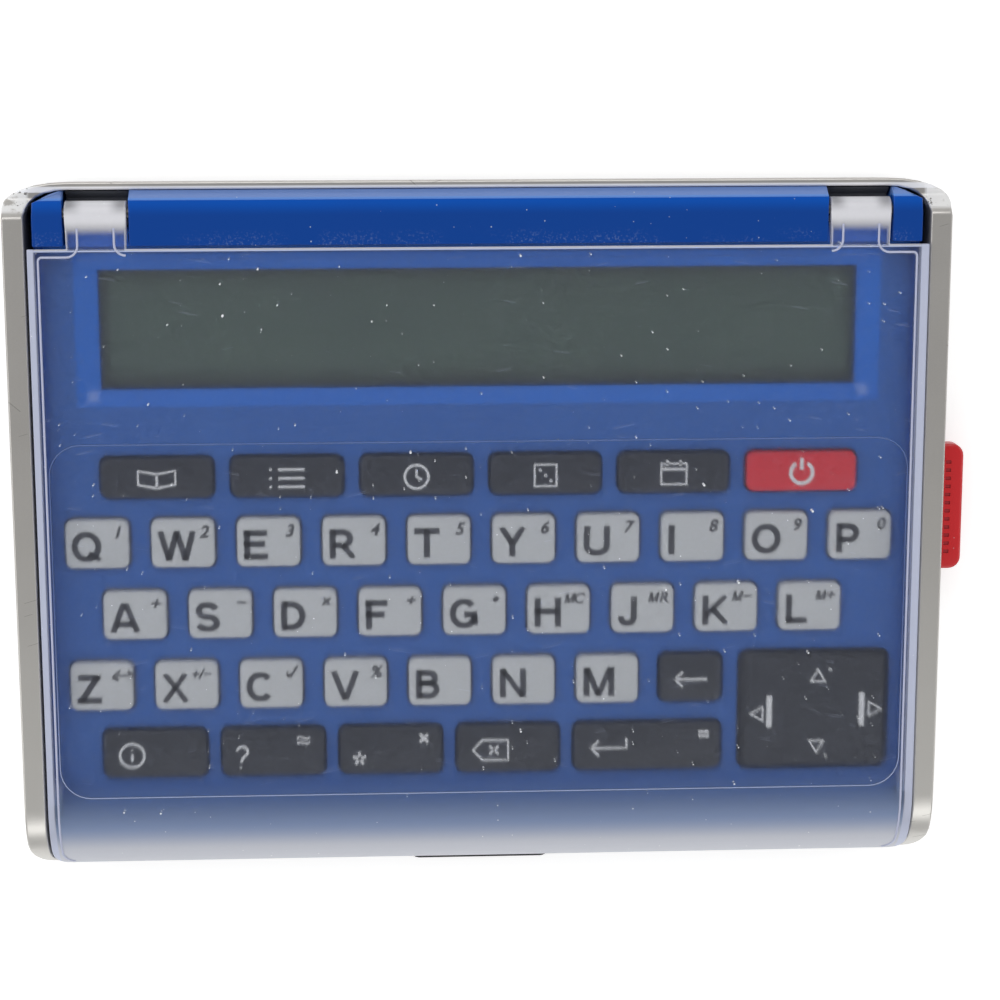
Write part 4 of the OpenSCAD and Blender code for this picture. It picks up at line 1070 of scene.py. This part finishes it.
SIGNS = {
    "key_book": sign(book, (0,)),
    "key_lists": sign(rows),
    "key_timer": sign([ring(0, 0, 1.35), [(0, 0.85), (0, 0), (0.6, -0.35)]], (0,)),
    "key_games": sign(die, (0, 1, 2, 3)),
    "key_planner": sign(calendar, (0,)),
    "key_power": sign([ring(0, 0, 1.25, 122, 418), [(0, 1.7), (0, 0.3)]], weight=0.5),
    "key_back": sign([[(1.9, 0), (-1.9, 0)], [(-0.9, 0.9), (-1.9, 0), (-0.9, -0.9)]]),
    "key_help": sign([ring(0, 0, 1.4), [(0, -0.7), (0, 0.2)], [(0, 0.6), (0, 0.72)]], (0,), -3.2),
    "key_question": sign([hook, [(-0.15, -1.4), (-0.17, -1.6)]], (), -4.4, -0.6, 0.36, 1.0),
    "key_star": sign(spokes, (), -4.4, -1.1, 0.42, 1.0),
    "key_clear": sign([tag, [(-0.2, 0.5), (0.9, -0.5)], [(-0.2, -0.5), (0.9, 0.5)]], (0,), -2.4),
    "key_enter": sign(back_turn, (), -5.6),
}
CORNER_SIGNS = dict(zip("qwertyuiop", "1234567890"))
CORNER_SIGNS.update(zip("asdfghjkl", ["+", "−", "×", "÷", "·", "MC", "MR", "M−", "M+"]))
CORNER_SIGNS.update({"z": "↔", "x": "+/−", "c": "√", "v": "%"})
print("signs:", len(SIGNS), "in corners:", len(CORNER_SIGNS))

# %% [markdown]
# Now each key is grown at the size and place of its solid, its edges are
# rounded, and its print is laid on: capitals at the left and small slanted
# signs at the upper right, as on a calculator.

# %% Grow the keys
ink_top = 0.004 * mm
slanted = 0.25
letter_tall, letter_wide, letter_in, letter_drop = 4.12, 1.14, 0.9, 0.3
small_tall, dot_tall, sign_tall, pair_tall, small_rise = 1.4, 3.2, 1.6, 1.3, 1.65
memory_in, sign_in, pair_in = 3.4, 1.35, 2.2


def letter_print(letter, left, right, y, top):
    """A letter at the left of its key, and the small sign in the corner at the right."""
    letter_y = y - letter_drop
    prints = [capital(letter.upper(), letter_tall, left + letter_in, letter_y, top, 0.0, letter_wide)]
    small, small_y = CORNER_SIGNS.get(letter, ""), y + small_rise
    if small[:1] == "M":
        prints.append(capital("M", small_tall, right - memory_in, small_y, top, slanted))
        prints.append(glyph(small[1], small_tall, right - sign_in, small_y, top, 0.02, slanted))
    elif small:
        height, inset = (pair_tall, pair_in) if len(small) > 1 else (sign_tall, sign_in)
        height = dot_tall if small == "·" else height
        prints.append(glyph(small, height, right - inset, small_y, top, 0.026, slanted))
    return prints


def sign_print(node, x, y, top):
    """The sign of a key without a letter, and what is in its corner."""
    lines, closed, sign_x, sign_y, weight = SIGNS[node]
    prints = [strokes(lines, weight, x + sign_x, y + sign_y, top, closed)]
    corner_y, corner_tall, bold = y + 1.7, 1.9, 0.03
    if node == "key_question":
        wave = [(-0.9, -0.1), (-0.5, 0.15), (0.0, 0.0), (0.5, -0.15), (0.9, 0.1)]
        waves = [[(px, py + shift) for px, py in wave] for shift in (-0.35, 0.35)]
        prints.append(strokes(waves, 0.28, x + 4.2, corner_y, top))
    elif node == "key_star":
        prints.append(glyph("×", corner_tall, x + 4.6, corner_y, top, bold))
    elif node == "key_enter":
        prints.append(glyph("=", corner_tall, x + 7.9, corner_y, top, bold))
    return prints


for node in [n for n in nodes if n.startswith("key_")]:
    low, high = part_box(node)
    middle = (low + high) / 2
    size = high - low - 2 * Vector((1, 1, 0)) * cap_sizes["Flange Reach"]
    letter = node[4:] if len(node) == 5 else ""
    finish = key_white if letter else key_red if node == "key_power" else key_black
    cap = grow(cap_tree, node.replace("key_", "cap_"), finish, {
        **cap_sizes, "Width": size.x, "Depth": size.y,
        "Low": low.z, "Top": high.z, "X": middle.x, "Y": middle.y,
    })
    round_off(cap, 0.32, 3, 50)
    apply_modifiers(cap, finish)
    shade(cap.data)
    top, half = high.z + ink_top, size.x / mm / 2
    cx, cy = middle.x / mm, middle.y / mm
    if letter:
        print_on(cap, letter_print(letter, cx - half, cx + half, cy, top), dark_ink)
    else:
        print_on(cap, sign_print(node, cx, cy, top), pale_ink)
    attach(cap, node)
    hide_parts(node)

# %% [markdown]
# The direction pad is one wide cap that rocks on its gimbal. It is printed with
# four hollow arrowheads and a bar beside the left and the right one.

# %% The direction pad
pad = softened("dpad_cap", "direction_pad", 0.3, key_black, "dpad_cap", 3)
low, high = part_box("dpad_cap")
cx, cy = (low.x + high.x) / 2 / mm, (low.y + high.y) / 2 / mm
top = high.z + ink_top
arrow_reach = 1.15
arrows = [
    ring(x, y, arrow_reach, turn, turn + 360, 3)
    for x, y, turn in ((0.5, 4.75, 90), (0.45, -5.0, 270), (-7.8, -0.4, 180), (8.35, 0.1, 0))
]
bars = [[(-6.3, -2.4), (-6.3, 2.2)], [(6.75, -2.3), (6.75, 2.5)]]
ticks = [page(0.25, 0.25, 2.2, 5.9), page(0.25, 0.25, 1.8, -6.6)]
print_on(pad, [
    strokes(arrows, 0.48, cx, cy, top, (0, 1, 2, 3)),
    strokes(bars, 0.75, cx, cy, top),
    strokes(ticks, 0.2, cx, cy, top, (0, 1)),
], pale_ink)

# %% [markdown]
# The pull tab is a plate whose two outer corners are round, with a row of small
# grip pits sunk into its upper face. A tree makes the plate: the radius of a
# filleted corner may differ from corner to corner, so it is given only where X
# is positive. A Bevel modifier rounds the plate's edges. The pits are cut with
# planes on either side of each, and the small faces between the cuts sink.

# %% The tree for the plate
plate_tree, build, wires = geometry_tree("tab_plate", {
    "Reach": 4.5 * mm, "Width": 18.0 * mm, "Thickness": 2.8 * mm, "Corner": 1.6 * mm,
})
place = build.node("GeometryNodeInputPosition")
outer = build.node("ShaderNodeSeparateXYZ", {0: place}) > 0.0
corner = wires["Corner"] * outer + 0.1 * mm
plate = slab(build, wires["Reach"], wires["Width"], corner, 6, wires["Thickness"])
close_tree(build, plate, wires)
print("inputs of the plate's tree:", len(wires))

# %% The pull tab
low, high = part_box("pull_tab")
middle = (low + high) / 2
tab = grow(plate_tree, "red_tab", tab_red, {
    "Reach": high.x - low.x, "Width": high.y - low.y, "Thickness": high.z - low.z, "Corner": 1.6 * mm,
})
round_off(tab, 0.4, 3, 50)
apply_modifiers(tab, tab_red)
tab.data.transform(Matrix.Translation((middle.x, middle.y, low.z)))
print("the tab reaches out in mm:", round((high.x - low.x) / mm, 2))

# %% The grip pits
pit_count, pit_pitch, pit_wide, pit_long, pit_deep = 12, 1.17, 0.75, 0.5, 0.12
close = 0.01
pit_x, tab_top = middle.x / mm + 0.1, high.z / mm
rows = [middle.y / mm + (i - (pit_count - 1) / 2) * pit_pitch for i in range(pit_count)]
cuts = [((pit_x + s * pit_wide / 2, 0, 0), (1, 0, 0)) for s in (-1, 1)]
cuts += [((0, row + s * pit_long / 2, 0), (0, 1, 0)) for row in rows for s in (-1, 1)]
shape = bmesh.new()
shape.from_mesh(tab.data)
for place, across in cuts:
    everything = list(shape.verts) + list(shape.edges) + list(shape.faces)
    bmesh.ops.bisect_plane(shape, geom=everything, plane_co=Vector(place) * mm, plane_no=across)


def in_pit(face, more, lowest, highest):
    """Whether a face's middle, in mm, is inside the outline of a pit and between two heights."""
    spot = face.calc_center_median() / mm
    in_row = any(abs(spot.y - row) < pit_long / 2 + more for row in rows)
    return in_row and abs(spot.x - pit_x) < pit_wide / 2 + more and lowest < spot.z < highest


pits = [face for face in shape.faces if in_pit(face, 0.0, tab_top - close, math.inf)]
sunk = bmesh.ops.extrude_discrete_faces(shape, faces=pits)["faces"]
bmesh.ops.translate(shape, verts=[v for f in sunk for v in f.verts], vec=(0, 0, -pit_deep * mm))
# Painted shade: the pits' floors and walls take a darker red.
for face in shape.faces:
    if in_pit(face, close, tab_top - pit_deep - close, tab_top - pit_deep / 3):
        face.material_index = 1
shape.to_mesh(tab.data)
shape.free()
tab.data.materials.append(tab_pit_painted_shade)
shade(tab.data)
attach(tab, "reference_slip")
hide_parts("pull_tab")
print("pits:", len(pits), "faces of the tab:", len(tab.data.polygons))

# %% [markdown]
# Six screws hold the two shells together. Each has a flat round head with a
# cross recess and a shank up into its boss. The tree sets one screw on each
# point that it is given, and the points come from the solid's own corners.

# %% Screws
screw_sizes = {
    "Head Radius": 1.9 * mm, "Head Height": 1.1 * mm, "Shank Radius": 0.95 * mm, "Length": 7.5 * mm,
    "Recess Length": 2.2 * mm, "Recess Width": 0.5 * mm, "Recess Depth": 0.6 * mm,
}
screw_tree, build, wires = geometry_tree("screw", screw_sizes)


def shaft(radius, height, start):
    """A cylinder in the tree, standing on start."""
    made = build.node("GeometryNodeMeshCylinder", {"Vertices": 24, "Radius": radius, "Depth": height})
    rise = build.node("ShaderNodeCombineXYZ", {2: start + height / 2})
    return build.node("GeometryNodeTransform", {"Geometry": made, "Translation": rise})


head_height = wires["Head Height"]
head = shaft(wires["Head Radius"], head_height, 0.0)
for wide, long in (("Recess Length", "Recess Width"), ("Recess Width", "Recess Length")):
    size = {0: wires[wide], 1: wires[long], 2: wires["Recess Depth"] * 2}
    blade = build.node("GeometryNodeMeshCube", {"Size": build.node("ShaderNodeCombineXYZ", size)})
    head = build.node("GeometryNodeMeshBoolean", {"Mesh 1": head, "Mesh 2": blade}, operation="DIFFERENCE")
shank = shaft(wires["Shank Radius"], wires["Length"] - head_height / 2, head_height / 2)
screw = joined(head, shank)
screws = build.node("GeometryNodeInstanceOnPoints", {"Points": wires["Base"], "Instance": screw})
close_tree(build, screws, wires)

low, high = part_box("screws")
reach = 5 * mm
spots = {}
for vertex in nodes["screws"].data.vertices:
    if vertex.co.z < low.z + 0.05 * mm:
        key = next((k for k in spots if (Vector(k) - vertex.co.xy).length < reach), tuple(vertex.co.xy))
        spots.setdefault(key, []).append(vertex.co.xy)
centres = []
for rim_points in spots.values():
    xs, ys = [p.x for p in rim_points], [p.y for p in rim_points]
    centres.append(((min(xs) + max(xs)) / 2, (min(ys) + max(ys)) / 2, low.z))
points = bpy.data.meshes.new("screw_points")
points.from_pydata(centres, [], [])
screw_set = grow(screw_tree, "case_screws", steel, {**screw_sizes, "Length": high.z - low.z}, points)
apply_modifiers(screw_set, steel)
shade(screw_set.data)
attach(screw_set, "casing")
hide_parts("screws")
print("screws set:", len(centres))

# %% [markdown]
# ## Settings and size
#
# The look must not change the size of the object, so the size of everything
# shown is printed at the end.

# %% Settings, sizes and the end
bpy.context.scene.view_settings.view_transform = "Standard"
low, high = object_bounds()
print("size shown in mm:", [round(v / mm, 2) for v in high - low])
